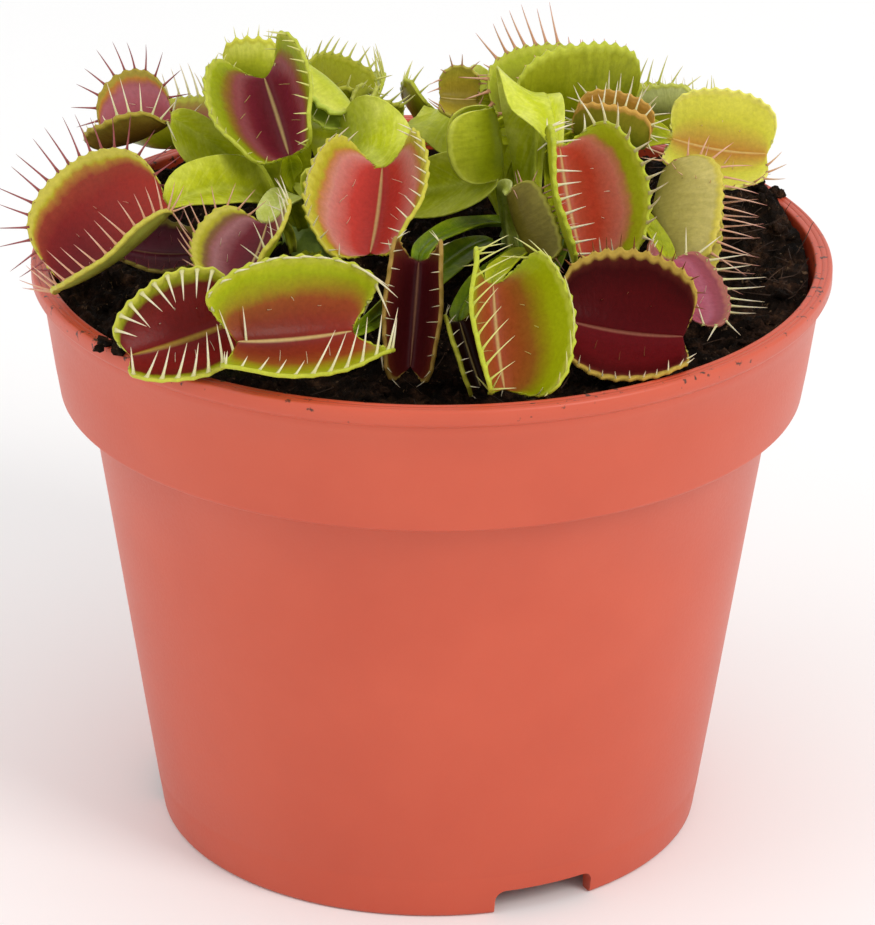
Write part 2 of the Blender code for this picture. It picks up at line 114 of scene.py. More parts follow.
Leaf = namedtuple(
    "Leaf",
    "crown ring bearing base heading pitch roll gape_left gape_right length width bulge "
    "taper wing turned rise reach colour",
)
LEAF_ROWS = {
    "far_left": ("left", 0, 236, (-29, -11.2, 77.3), 190, -34, -5,
        60, 52, 14.3, 12.5, 0.5, 0, 6.5, 0.8, 10, 5, "red"),
    "upper_left": ("left", 1, 209, (-29.5, 5.5, 81.5), 165, -26, -15,
        37, 39, 8.8, 7.8, 0.3, 0, 6.5, 1, 5, 1, "maroon"),
    "low_left": ("left", 0, 205, (-27, -9, 71), 180, 5, -17,
        70, 70, 7, 4.6, 0.8, 0, 3.5, 0, 2, 5.5, "maroon"),
    "mid_left": ("left", 0, 297, (-18, -12.5, 76), 250, -28, 18,
        50, 54, 8.2, 7.4, 0.9, 0, 5, 0, 9, 6, "maroon"),
    "front_left": ("left", 0, 264, (-21.5, -30, 71.5), 200, -11, -40,
        55, 58, 11.3, 7.2, 0.7, 0.3, 2, 0, 1, 6, "red"),
    "front": ("right", 0, 196, (-8.5, -32, 71.5), 199, 2, -41,
        50, 52, 12.7, 9.1, 1.4, 0, 2, 0, 2, 2, "red"),
    "centre": ("left", 1, 278, (-5.5, -5.5, 80), 264, -27, 10,
        46, 47, 12.5, 8.9, 1.1, 0, 10, 0.9, 15, 1.5, "red"),
    "narrow": ("right", 1, 198, (-1.4, -21.5, 75.3), 262, -58, -5,
        19, 19, 11.5, 7.5, 1, 0.4, 1.5, 0, 1, 3.5, "maroon"),
    "front_right": ("right", 0, 273, (6.5, -28.5, 75.5), 278, -44, -10,
        38, 27, 12, 9.7, 1.1, 0, 1.2, 0, 2.5, 2.5, "red"),
    "behind_front": ("right", 0, 253, (3, -25.5, 70), 296, -46, 12,
        18, 18, 8.6, 5.8, 0.5, 0, 1.5, 0, 2.5, 2, "khaki"),
    "right": ("right", 1, 264, (14, -4, 82), 290, -55, -4,
        40, 24, 12.3, 9.8, 0.9, 0, 3, 0, 25, 6, "red"),
    "khaki": ("right", 0, 339, (25, -7, 69.5), 83, 40, 92,
        20, 20, 12, 8.5, 0.6, 0, 3, 0, 2, 5.5, "khaki"),
    "maroon": ("right", 0, 295, (14.5, -27.5, 71), -5, -6, 28,
        52, 70, 12.6, 9, 0.6, 0, 2.5, 0, 1, 5.5, "maroon"),
    "low_right": ("right", 0, 315, (26, -12.5, 72), 288, -28, -26,
        65, 64, 8.4, 5.7, 0.9, 0, 2.5, 0, 9.5, 8, "maroon"),
    "far_right": ("right", 0, -3, (27, 7, 79), -9, -6, 23,
        39, 80, 10.8, 7.1, 0.5, 0, 5, 0, 8, 8, "lime"),
    "back_right": ("right", 1, 174, (8.5, 11, 79.5), 30, -4, -17,
        27, 26, 15.8, 10.6, 0.35, 0, 4, 0, 11, 3, "lime"),
    "olive": ("right", 1, 359, (16, 4, 81), -9, -9, 0,
        14, 14, 8, 6, 0.5, 0, 2.5, 0, 7.5, 2, "khaki"),
    "grey": ("right", 0, 24, (24.5, 18, 78.5), -9, 9, -22,
        13, 12, 4.8, 3.4, 0.8, 0, 3, 0, 7, 5, "khaki"),
    "top_left": ("left", 1, 236, (-16, 0, 79.5), 108, 31, -25,
        39, 33, 11.2, 9.4, 1, 0, 1.2, 0, 4, 1, "red"),
    "behind_top": ("left", 1, 175, (-17, 12.5, 84.5), 171, -3, 24,
        25, 25, 6.3, 5.2, 0.5, 0, 2.5, 0, 7, 4.5, "lime"),
    "back_left": ("left", 1, 125, (-13.5, 17, 80), 39, -25, 17,
        41, 41, 8.9, 6.7, 0.9, 0, 3, 0, 8, 4, "green"),
    "closed_left": ("left", 1, 313, (-9, 7.5, 82), 138, 28, -96,
        3, 3, 7.1, 5.1, 0.6, 0, 3, 0, 9.5, 5.5, "lime"),
    "yellow": ("right", 1, 133, (5, 15.5, 80.5), 185, 5, -48,
        45, 45, 4.2, 4, 0.5, 0, 4.5, 0, 6, 8.5, "green"),
    "small_khaki": ("right", 0, 235, (8.5, -8, 78), 307, -51, -65,
        16, 16, 8, 4.4, 0.6, 0, 1.2, 0, 9, 1, "khaki"),
    "young": ("left", 1, 345, (7.5, 1.5, 76.5), 140, 80, -140,
        4, 4, 8, 6.2, 0.3, 0, 6, 0.9, 4, 1, "green"),
    "curled": ("right", 1, 302, (13, 10.5, 76.5), 20, 20, 0,
        8, 8, 4, 2.6, 0.4, 0, 1.2, 0, 1.5, 1, "green"),
    "tiny": ("left", 1, 15, (-8, 12.5, 80), 60, 38, 0,
        10, 10, 3, 2.2, 0.5, 0, 2, 0, 6, 3, "green"),
    "rear_left": ("left", 0, 144, (-27, 22, 73), 140, -15, 0,
        45, 45, 10, 7, 0.8, 0, 6, 0, 7, 6, "red"),
    "rear_mid_left": ("left", 0, 60, (-9.5, 26.5, 74), 100, -12, 0,
        40, 40, 10, 7, 0.8, 0, 10, 0.85, 11, 5, "green"),
    "rear_mid_right": ("right", 0, 130, (1, 26.5, 75), 85, -45, 0,
        42, 42, 10, 7.5, 0.8, 0, 10, 0.85, 11, 5, "red"),
    "rear_right": ("right", 0, 55, (23, 25, 73), 40, -8, 0,
        42, 42, 10, 7, 0.8, 0, 5, 0, 4.5, 2.5, "green"),
}
LEAVES = {name: Leaf(*row) for name, row in LEAF_ROWS.items()}


def linear(code, alpha=1.0):
    """A hex colour as linear red, green, blue and alpha."""
    values = [int(code[i : i + 2], 16) / 255 for i in (0, 2, 4)]
    return (*(v / 12.92 if v <= 0.04045 else ((v + 0.055) / 1.055) ** 2.4 for v in values), alpha)


def linked(name, data):
    """A new object with this data, in the scene."""
    item = bpy.data.objects.new(name, data)
    bpy.context.scene.collection.objects.link(item)
    return item


def mesh_object(name, points, faces, attributes=None, smooth=True):
    mesh = bpy.data.meshes.new(name)
    mesh.from_pydata(np.asarray(points).tolist(), [], faces)
    for key, values in (attributes or {}).items():
        layer = mesh.attributes.new(key, "FLOAT", "POINT")
        layer.data.foreach_set("value", np.asarray(values, np.float32))
    if smooth:
        mesh.shade_smooth()
    return linked(name, mesh)


def dress(item, material, node=None):
    """Gives a finished piece its material and the CAD node it stands for."""
    item.data.materials.append(material)
    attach(item, "root")
    if node:
        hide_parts(node)


def unit(vector):
    vector = np.asarray(vector, float)
    return vector / (np.linalg.norm(vector, axis=-1, keepdims=True) + 1e-12)


# ---------------------------------------------------------------- materials


def stops(text):
    """A ramp's stops from text: a place and a hex colour for each."""
    pairs = (pair.split() for pair in text.split(","))
    return [(float(place), colour) for place, colour in pairs]


class Nodes:
    """A short way to wire a material's nodes."""

    def __init__(self, name):
        self.material = bpy.data.materials.new(name)
        self.material.use_nodes = True
        self.tree = self.material.node_tree
        self.shader = self.tree.nodes["Principled BSDF"]

    def add(self, kind, inputs=None, **settings):
        node = self.tree.nodes.new("ShaderNode" + kind)
        for key, value in settings.items():
            setattr(node, key, value)
        for key, value in (inputs or {}).items():
            self.put(node.inputs[key], value)
        return node

    def put(self, socket, value):
        if isinstance(value, bpy.types.NodeSocket):
            self.tree.links.new(value, socket)
        else:
            socket.default_value = value

    def set(self, **values):
        names = {"colour": "Base Color", "roughness": "Roughness", "normal": "Normal"}
        for key, value in values.items():
            self.put(self.shader.inputs[names[key]], value)

    def constants(self, specular, soft=None, scale=0.0008, radius=(0.9, 0.8, 0.25)):
        """Sets how the surface shines and how light spreads under it."""
        self.shader.inputs["Specular IOR Level"].default_value = specular
        if soft is not None:
            self.shader.inputs["Subsurface Weight"].default_value = soft
            self.shader.inputs["Subsurface Scale"].default_value = scale
            self.shader.inputs["Subsurface Radius"].default_value = radius

    def math(self, operation, a, b=0.0, c=0.0, clamp=False):
        node = self.add("Math", {0: a, 1: b, 2: c}, operation=operation, use_clamp=clamp)
        return node.outputs[0]

    def times(self, a, b, clamp=False):
        return self.math("MULTIPLY", a, b, clamp=clamp)

    def times_plus(self, a, b, c, clamp=False):
        return self.math("MULTIPLY_ADD", a, b, c, clamp)

    def attribute(self, name):
        return self.add("Attribute", attribute_name=name).outputs["Fac"]

    def position(self):
        return self.add("TexCoord").outputs["Object"]

    def noise(self, vector, scale, detail=3.0, roughness=0.55):
        inputs = {"Vector": vector, "Scale": scale, "Detail": detail, "Roughness": roughness}
        return self.add("TexNoise", inputs).outputs["Fac"]

    def ramp(self, factor, places):
        """A ramp over places, each with a hex colour or a grey level."""
        node = self.add("ValToRGB", {"Fac": factor})
        ramp = node.color_ramp
        while len(ramp.elements) < len(places):
            ramp.elements.new(0.5)
        for element, (place, colour) in zip(ramp.elements, places):
            element.position = place
            element.color = linear(colour) if isinstance(colour, str) else (colour,) * 3 + (1.0,)
        return node.outputs["Color"]

    def mix(self, factor, a, b, mode="MIX"):
        node = self.add("Mix", data_type="RGBA", blend_type=mode)
        self.put(node.inputs["Factor"], factor)
        self.put(node.inputs[6], linear(a) if isinstance(a, str) else a)
        self.put(node.inputs[7], linear(b) if isinstance(b, str) else b)
        return node.outputs[2]

    def over(self, base, tone, factor, share):
        """The base colour with this share of a tone over it where the factor is 1."""
        return self.mix(self.times(factor, share), base, tone)

    def bump(self, height, distance, strength=1.0, normal=None):
        node = self.add("Bump", {"Height": height, "Distance": distance, "Strength": strength})
        if normal:
            self.put(node.inputs["Normal"], normal)
        return node.outputs["Normal"]


def pot_material():
    n = Nodes("terracotta_plastic")
    place = n.position()
    height = n.add("SeparateXYZ", {0: place}).outputs["Z"]
    cloud = n.noise(place, 60.0, 4.0)
    base = n.ramp(cloud, stops("0.3 c25036, 0.7 c9563b"))
    low = n.times_plus(height, -1 / POT_SHADE_HEIGHT, 1.0, clamp=True)
    base = n.over(base, "b0442c", low, 0.35)
    # Painted light: the inner wall and the lip's top are tinted a deeper red, standing in for light bounced
    # between the red walls.
    base = n.over(base, "c8401f", n.attribute("inside"), 0.75)
    speck = n.noise(place, 900.0, 3.0, 0.6)
    dirt_zone = n.times(n.attribute("rim"), n.noise(place, 130.0, 3.0, 0.6))
    dirt = n.times_plus(speck, 1.0, n.times_plus(dirt_zone, 0.42, -0.84))
    base = n.mix(n.times(dirt, 14.0, clamp=True), base, "4a2a1e")
    fine = n.noise(place, 2600.0, 2.0)
    wide = n.noise(place, 25.0, 2.0)
    n.set(colour=base, roughness=n.times_plus(fine, 0.12, 0.34))
    n.constants(0.45, 0.12, 0.0015, (1.0, 0.35, 0.2))
    normal = n.bump(wide, 0.0004, 0.5)
    n.set(normal=n.bump(fine, 0.00003, 0.5, normal))
    return n.material


def soil_material():
    n = Nodes("peat")
    place = n.position()
    grain = n.noise(place, 420.0, 6.0, 0.7)
    fine = n.noise(place, 1700.0, 4.0, 0.7)
    base = n.ramp(grain, stops("0.3 0a0604, 0.48 1c120b, 0.6 38251a, 0.75 6a4c34"))
    fleck = n.ramp(n.noise(place, 1150.0, 3.0, 0.6), [(0.64, 0.0), (0.70, 1.0)])
    base = n.over(base, "8a6c50", fleck, 0.7)
    moss = n.ramp(fine, stops("0.3 0d1404, 0.55 27330a, 0.75 4d5a16"))
    mossy = n.times(n.attribute("moss"), n.times(grain, 1.8), clamp=True)
    base = n.mix(mossy, base, moss)
    n.set(colour=base, roughness=n.times_plus(fine, 0.5, 0.5))
    n.constants(0.07)
    height = n.times_plus(fine, 0.7, grain)
    n.set(normal=n.bump(height, 0.0011, 1.0))
    return n.material


def plain_material(name, tones, scale, roughness=0.8):
    n = Nodes(name)
    grain = n.noise(n.position(), scale, 4.0, 0.65)
    n.set(colour=n.ramp(grain, tones), roughness=roughness, normal=n.bump(grain, 0.0002, 0.8))
    return n.material


Look = namedtuple(
    "Look", "inside outside margin tooth stalk teeth tooth_length lean_left lean_right extra"
)


def look(inside, outside, *rest, **extra):
    """A leaf's look. Its inner and outer colours may be the text of a ramp."""
    tones = [stops(side) if isinstance(side, str) else side for side in (inside, outside)]
    return Look(*tones, *rest, extra)


def leaf_material(name, style):
    """The leaf's colours: across a lobe from midrib to margin, and along each tooth."""
    n = Nodes(name)
    extra = style.extra
    place = n.position()
    across = n.attribute("across")
    along = n.attribute("along")
    tooth = n.attribute("tooth")
    stalk = n.attribute("stalk")
    broad = n.noise(place, 260.0, 3.0, 0.6)
    fine = n.noise(place, 2100.0, 3.0, 0.6)
    # Veins run from the midrib to the margin, so they repeat along the trap only.
    vein_place = n.add("CombineXYZ", {0: n.times(along, 34.0), 1: n.times(across, 3.0)})
    veins = n.noise(vein_place.outputs[0], 1.0, 2.0, 0.5)
    reach = n.times_plus(broad, 0.16, across)
    reach = n.times_plus(veins, 0.05, reach)
    reach = n.math("SUBTRACT", reach, 0.105)
    end = n.math("POWER", n.math("ABSOLUTE", n.times_plus(along, 2.0, -1.0)), 3.0)
    reach = n.times_plus(end, extra.get("end", 0.12), reach)
    inside = n.ramp(reach, style.inside)
    if "blush" in extra:
        tone, share = extra["blush"]
        near = n.math("SUBTRACT", 1.0, n.times(along, 1.5), clamp=True)
        red = n.ramp(reach, [(0.6, 1.0), (0.85, 0.0)])
        inside = n.over(inside, tone, n.times(near, red), share)
    # Painted sheen: a pale band through the red of the lobe, standing in for a soft highlight.
    if "bloom" in extra:
        tone, share, middle = extra["bloom"]
        ring = n.ramp(reach, [(0.35, 0.0), (middle, 1.0), (middle + 0.14, 0.0)])
        inside = n.over(inside, tone, ring, share)
    outside = n.ramp(n.times_plus(broad, 0.5, n.times(across, 0.55)), style.outside)
    vein_tone = n.ramp(veins, [(0.45, 0.0), (0.6, 1.0)])
    outside = n.over(outside, style.outside[0][1], vein_tone, 0.22)
    rib_width = extra.get("rib_width", 0.012)
    rib_line = n.ramp(across, [(rib_width, 1.0), (rib_width * 3.3, 0.0)])
    inside = n.over(inside, extra.get("rib_tone", "d2b878"), rib_line, extra.get("rib", 0.75))
    if "shade_left" in extra:
        darker = n.mix(1.0, inside, (0.62, 0.5, 0.5, 1.0), mode="MULTIPLY")
        left = n.math("SUBTRACT", 1.0, n.attribute("lobe"))
        inside = n.over(inside, darker, left, extra["shade_left"])
    blade = n.mix(n.attribute("inner"), outside, inside)
    freckle = n.ramp(n.noise(place, 1300.0, 2.0, 0.7), [(0.70, 0.0), (0.76, 1.0)])
    blade = n.over(blade, "3a2210", freckle, extra.get("freckles", 0.12))
    edge = n.ramp(n.times_plus(broad, 0.04, across), [(0.93, 0.0), (0.985, 1.0)])
    blade = n.mix(edge, blade, style.margin)

    # The stalk's blade: pale along its rib and branching veins, darker in blotches.
    green = n.ramp(n.times_plus(broad, 0.7, n.times(across, 0.3)), style.stalk)
    rib = n.ramp(across, [(0.05, 1.0), (0.22, 0.0)])
    green = n.over(green, style.stalk[-1][1], rib, 0.4)
    slant = n.times_plus(across, 5.0, n.times(along, 26.0))
    branch_place = n.add("CombineXYZ", {0: slant, 1: n.times(across, 2.0)})
    branches = n.noise(branch_place.outputs[0], 1.0, 3.0, 0.55)
    green = n.over(green, style.stalk[-1][1], n.ramp(branches, [(0.5, 0.0), (0.6, 1.0)]), 0.35)
    mottle = n.ramp(n.noise(place, 620.0, 3.0, 0.6), [(0.42, 1.0), (0.6, 0.0)])
    green = n.over(green, style.stalk[0][1], mottle, 0.3)
    blade = n.mix(stalk, blade, green)

    teeth = n.ramp(tooth, style.tooth)
    if "right_teeth" in extra:
        teeth = n.mix(n.attribute("lobe"), teeth, n.ramp(tooth, extra["right_teeth"]))
    colour = n.mix(n.times(tooth, 30.0, clamp=True), blade, teeth)
    tone = n.ramp(fine, [(0.25, 0.86), (0.75, 1.08)])
    colour = n.mix(1.0, colour, tone, mode="MULTIPLY")
    n.set(colour=colour, roughness=n.times_plus(fine, 0.20, extra.get("roughness", 0.26)))
    n.constants(extra.get("specular", 0.14), extra.get("soft", 0.12))
    lump = n.times_plus(veins, 0.35, n.times(broad, 0.8))
    lump = n.times_plus(n.times(branches, stalk), 0.7, lump)
    normal = n.bump(lump, 0.0002, 0.5)
    n.set(normal=n.bump(fine, 0.00006, 0.55, normal))
    return n.material


# ---------------------------------------------------------------- leaves

REACH_STEPS = 24
TOOTH_STATIONS = 6
STALK_STATIONS = 22
MARGIN_SAMPLES = 400
SMALL_LEAF = 8.5
FINE_ACROSS = (0.0, 0.02, 0.05, 0.1, 0.18, 0.28, 0.4, 0.52, 0.64, 0.75, 0.84, 0.9, 0.94, 0.97, 1.0)
PLAIN_ACROSS = (0.0, 0.04, 0.12, 0.25, 0.42, 0.6, 0.76, 0.88, 0.95, 1.0)
ROUND = np.radians([45.0, 90.0, 135.0])

# Waves of a lobe, as shares of its width, and half thicknesses: the trap's blade, midrib and margin,
# the stalk's blade and rib, and the line raised along the midrib's inside.
LOBE_WAVE = 0.025
MARGIN_WAVE = 0.008
TRAP_BLADE, TRAP_MIDRIB, TRAP_MARGIN = 0.17, 0.20, 0.14
STALK_BLADE, STALK_RIB = 0.13, 0.42
MIDRIB_LINE = 0.16

# Teeth: their stations from root to tip, how deep the root sits, how far the tip hangs, and how many
# are broken off.
TOOTH_PLACES = np.array([0.0, 0.03, 0.08, 0.16, 0.3, 0.5, 0.72, 0.9, 1.0])
TOOTH_ROOT = 0.12
TOOTH_DROOP = -0.03 * UP
BROKEN_SHARE = 0.03

# Trigger hairs: where the three of a lobe stand, along it and across it.
TRIGGER_PLACES = ((0.36, 0.42), (0.5, 0.56), (0.64, 0.42))
TRIGGER_LENGTH = 1.3
TRIGGER_RADIUS = 0.05
TRIGGER_GAPE = 20
TRIGGER_LEAF = 6


def bell(distance, width):
    """1 at no distance, falling off smoothly over this width."""
    return np.exp(-((distance / width) ** 2))


def trap_axes(leaf):
    """Unit vectors along the midrib, towards the opening and towards the right lobe."""
    heading, pitch, roll = np.radians([leaf.heading, leaf.pitch, leaf.roll])
    level = np.array([np.cos(heading), np.sin(heading), 0.0])
    along = np.cos(pitch) * level + np.sin(pitch) * UP
    upward = unit(UP - along * along[2])
    opening = np.cos(roll) * upward + np.sin(roll) * np.cross(along, upward)
    return along, opening, np.cross(along, opening)


def lobe_reach(distance, gape, width):
    """How far a lobe reaches towards the opening and sideways, this far from the midrib."""
    share = (np.arange(REACH_STEPS) + 0.5) / REACH_STEPS
    middle = distance[..., None] * share
    hinge = (90.0 - gape - LOBE_CUP / 2)[..., None] * np.exp(-middle / HINGE_RADIUS)
    lean = np.radians(gape[..., None] + LOBE_CUP * (0.5 - middle / width) + hinge)
    step = distance / REACH_STEPS
    return np.cos(lean).sum(-1) * step, np.sin(lean).sum(-1) * step


def trap_points(leaf, turn, across, scallop=0.0):
    """Points of the trap's middle surface: turn runs from 0 at its neck to pi at its tip."""
    along, opening, sideways = trap_axes(leaf)
    turn, across = np.broadcast_arrays(turn, across)
    share = np.abs(across)
    at_hinge = leaf.length * (1 - np.cos(turn)) / 2
    at_margin = leaf.length / 2 * (1 - (1 + leaf.bulge * np.sin(turn)) * np.cos(turn))
    forward = at_hinge + (at_margin - at_hinge) * share
    full = np.sin(turn) ** LOBE_SQUARENESS * (1 + leaf.taper * np.cos(turn))
    distance = leaf.width * full * share + scallop * share**5
    gape = np.where(across > 0, leaf.gape_right, leaf.gape_left).astype(float)
    up, out = lobe_reach(distance, gape, leaf.width)
    end = 2 * forward / leaf.length - 1
    out = out * (1 - END_CUP * end * end * distance / leaf.width)
    sag = MIDRIB_BOW * leaf.length * (1 - np.minimum(end * end, 1.0))
    return (
        np.array(leaf.base, float)
        + along * forward[..., None]
        + opening * (up - sag)[..., None]
        + sideways * (out * np.sign(across))[..., None]
    )


def bezier(corners, t):
    a, b, c, d = corners
    t = np.asarray(t, float)[..., None]
    return (1 - t) ** 3 * a + 3 * (1 - t) ** 2 * t * b + 3 * (1 - t) * t * t * c + t**3 * d


def squared_to(vector, forward):
    """Unit vectors like these, turned square to the stalk's direction."""
    return unit(vector - forward * (vector * forward).sum(1, keepdims=True))


def stalk_points(leaf, t, across, extra, rng):
    """Points of the winged stalk's middle surface."""
    along, _, sideways = trap_axes(leaf)
    bearing = radians(leaf.bearing)
    outward = np.array([cos(bearing), sin(bearing), 0.0])
    crown = np.array([*CROWNS[leaf.crown], CROWN_LEVEL / MM + RING_HEIGHT[leaf.ring]])
    start = crown + outward * RING_RADIUS[leaf.ring]
    end = np.array(leaf.base, float)
    lead = outward * STALK_LEAD + UP * leaf.rise
    corners = (start, start + lead, end - along * leaf.reach, end)
    centre = bezier(corners, t)
    forward = unit(bezier(corners, t + 0.02) - bezier(corners, t - 0.02))
    turned_in = (t * t * (3 - 2 * t))[:, None]
    level = np.cross(outward, UP)
    side_way = squared_to(level * (1 - turned_in) + sideways * turned_in, forward)
    fullness = np.sin(np.pi * t ** extra.get("skew", WING_SKEW)).clip(0, 1)
    fullness = fullness ** extra.get("fullness", WING_FULLNESS)
    if leaf.turned:
        turned = (fullness * leaf.turned)[:, None]
        facing = unit(np.cross(forward, FRONT))
        side_way = squared_to(unit(side_way * (1 - turned) + facing * turned), forward)
    upper = np.cross(side_way, forward)
    plain = STALK_FOOT_WIDTH + (NECK_WIDTH - STALK_FOOT_WIDTH) * t
    half = ((plain + leaf.wing * fullness) / 2)[:, None]
    share = across[None, :]
    uneven = np.where(share > 0, extra.get("right_wing", 1.0), extra.get("left_wing", 1.0))
    phase = rng.uniform(0, 6.3, 2)
    ripple = np.sin(t[:, None] * 13 + phase[0] + (share > 0) * phase[1]) * np.abs(share) ** 2
    raised = half * (WING_LIFT * np.abs(share) ** 1.5 + ripple * extra.get("ripple", 0.12))
    return (
        centre[:, None, :]
        + side_way[:, None, :] * (half * share * uneven)[..., None]
        + upper[:, None, :] * (raised * uneven)[..., None]
    )


def grid_normals(grid):
    """Unit normals of a grid of points, on its opening side."""
    return unit(np.cross(np.gradient(grid, axis=1), np.gradient(grid, axis=0)))


def loop_faces(stations, loop, first):
    """Faces of a closed tube of loops of points, with both ends filled."""
    faces = []
    for i in range(stations - 1):
        for j in range(loop):
            k = (j + 1) % loop
            a, b = first + i * loop + j, first + i * loop + k
            faces.append((a, b, b + loop, a + loop))
    faces.append(tuple(first + j for j in reversed(range(loop))))
    faces.append(tuple(first + (stations - 1) * loop + j for j in range(loop)))
    return faces


class Build:
    """Collects loops of points, their faces and attributes, in millimetres."""

    KEYS = ("across", "along", "inner", "tooth", "stalk", "lobe")

    def __init__(self):
        self.points = []
        self.faces = []
        self.values = {key: [] for key in self.KEYS}
        self.count = 0

    def add(self, loops, **values):
        """Adds a closed tube of loops. A value is for all points, for each station or for each point."""
        stations, sides = loops.shape[:2]
        self.faces += loop_faces(stations, sides, self.count)
        self.points.append(loops.reshape(-1, 3))
        for key in self.KEYS:
            value = np.asarray(values.get(key, 0.0), float)
            if value.ndim == 1 and len(value) == stations:
                value = value[:, None]
            self.values[key].append(np.broadcast_to(value, (stations, sides)).reshape(-1))
        self.count += stations * sides

    def object(self, name):
        values = {key: np.concatenate(parts) for key, parts in self.values.items()}
        return mesh_object(name, np.concatenate(self.points) * MM, self.faces, values)


def tube(build, path, radius, sides, wide=1.0, wide_way=UP, **values):
    """A closed tapering tube along a path, widened along wide_way."""
    forward = unit(np.gradient(path, axis=0))
    side = unit(wide_way - forward * (forward @ wide_way)[:, None])
    other = np.cross(forward, side)
    angle = np.arange(sides) * 2 * np.pi / sides
    ring = (
        path[:, None, :]
        + side[:, None, :] * (np.cos(angle)[None, :] * (radius * wide)[:, None])[..., None]
        + other[:, None, :] * (np.sin(angle)[None, :] * radius[:, None])[..., None]
    )
    build.add(ring, **values)


def margin_turns(leaf, count):
    """Turns that split the margin's length evenly, and that length."""
    turn = np.linspace(NECK_TURN, TIP_TURN, MARGIN_SAMPLES)
    line = trap_points(leaf, turn, np.ones_like(turn))
    length = np.concatenate([[0.0], np.cumsum(np.linalg.norm(np.diff(line, axis=0), axis=1))])
    even = np.interp(np.linspace(0, length[-1], count), length, turn)
    return even, length[-1]


def trap_grid(leaf, style, across, rng):
    """The trap's middle surface, its margin scalloped between the teeth and its lobes uneven."""
    count = style.teeth * TOOTH_STATIONS + 1
    turn, margin_length = margin_turns(leaf, count)
    phase = np.linspace(0, style.teeth, count) % 1.0
    bump = (0.5 - 0.5 * np.cos(2 * np.pi * phase)) ** 1.6
    deep = style.extra.get("scallop", 0.2) * margin_length / style.teeth
    scallop = (bump - 0.35) * deep * np.sin(turn) ** 0.5
    turn = turn[:, None]
    trap = trap_points(leaf, turn, across[None, :], scallop[:, None])
    share = np.abs(across)[None, :]
    wave = np.sin(turn * 3 + rng.uniform(0, 6)) * share**2 * LOBE_WAVE
    wave = wave + np.sin(turn * 9 + rng.uniform(0, 6)) * share**4 * MARGIN_WAVE
    return trap + grid_normals(trap) * (wave * leaf.width * np.sin(turn))[..., None]


def half_thickness(share, stations):
    """Half the blade's thickness: the stalk has a thick rib, the trap a midrib and a thick margin."""
    ends = np.sin(np.pi * np.linspace(0, 1, stations)) ** 0.35
    trap = TRAP_BLADE + TRAP_MIDRIB * bell(share, 0.10) + TRAP_MARGIN * bell(share - 0.985, 0.035)
    stalk = STALK_BLADE + STALK_RIB * bell(share, 0.16)
    return np.concatenate([np.tile(stalk, (STALK_STATIONS, 1)), trap * (0.6 + 0.4 * ends)[:, None]])


def add_blade(build, middle, across):
    """The stalk and the trap as one closed blade round their middle surface, which may be uneven."""
    share = np.abs(across)
    stations = len(middle) - STALK_STATIONS
    s = np.linspace(0, 1, stations)
    normal = grid_normals(middle)
    half = half_thickness(share, stations)
    inner = middle + normal * half[..., None] * 0.6
    ridge = MIDRIB_LINE * bell(share, 0.035) * (np.sin(np.pi * s) ** 0.35)[:, None]
    inner[STALK_STATIONS:] += normal[STALK_STATIONS:] * ridge[..., None]
    outer = middle - normal * half[..., None]

    def rounded(column, beside, start):
        """The margin's round edge at this column, from the start side to the other."""
        out = unit(middle[:, column] - middle[:, beside])
        thick = half[:, column, None]
        return np.stack(
            [
                middle[:, column]
                + normal[:, column] * (start * cos(a) * thick)
                + out * (sin(a) * thick)
                for a in ROUND
            ],
            axis=1,
        )

    loop = np.concatenate([inner, rounded(-1, -2, 1), outer[:, ::-1], rounded(0, 1, -1)], axis=1)
    columns, both = len(across), np.ones(3)
    right = (across > 0).astype(float)
    shape = loop.shape[:2]
    along = np.concatenate([np.linspace(0.0, STALK_SHARE, STALK_STATIONS), s])
    build.add(
        loop,
        across=np.broadcast_to(np.concatenate([share, both, share[::-1], both]), shape),
        inner=np.broadcast_to(
            np.concatenate([np.ones(columns), [0.8, 0.5, 0.2], np.zeros(columns), [0.2, 0.5, 0.8]]), shape
        ),
        lobe=np.broadcast_to(np.concatenate([right, both, right[::-1], both * 0]), shape),
        along=along,
        stalk=(np.arange(len(middle)) < STALK_STATIONS).astype(float),
    )
    return normal[STALK_STATIONS:]


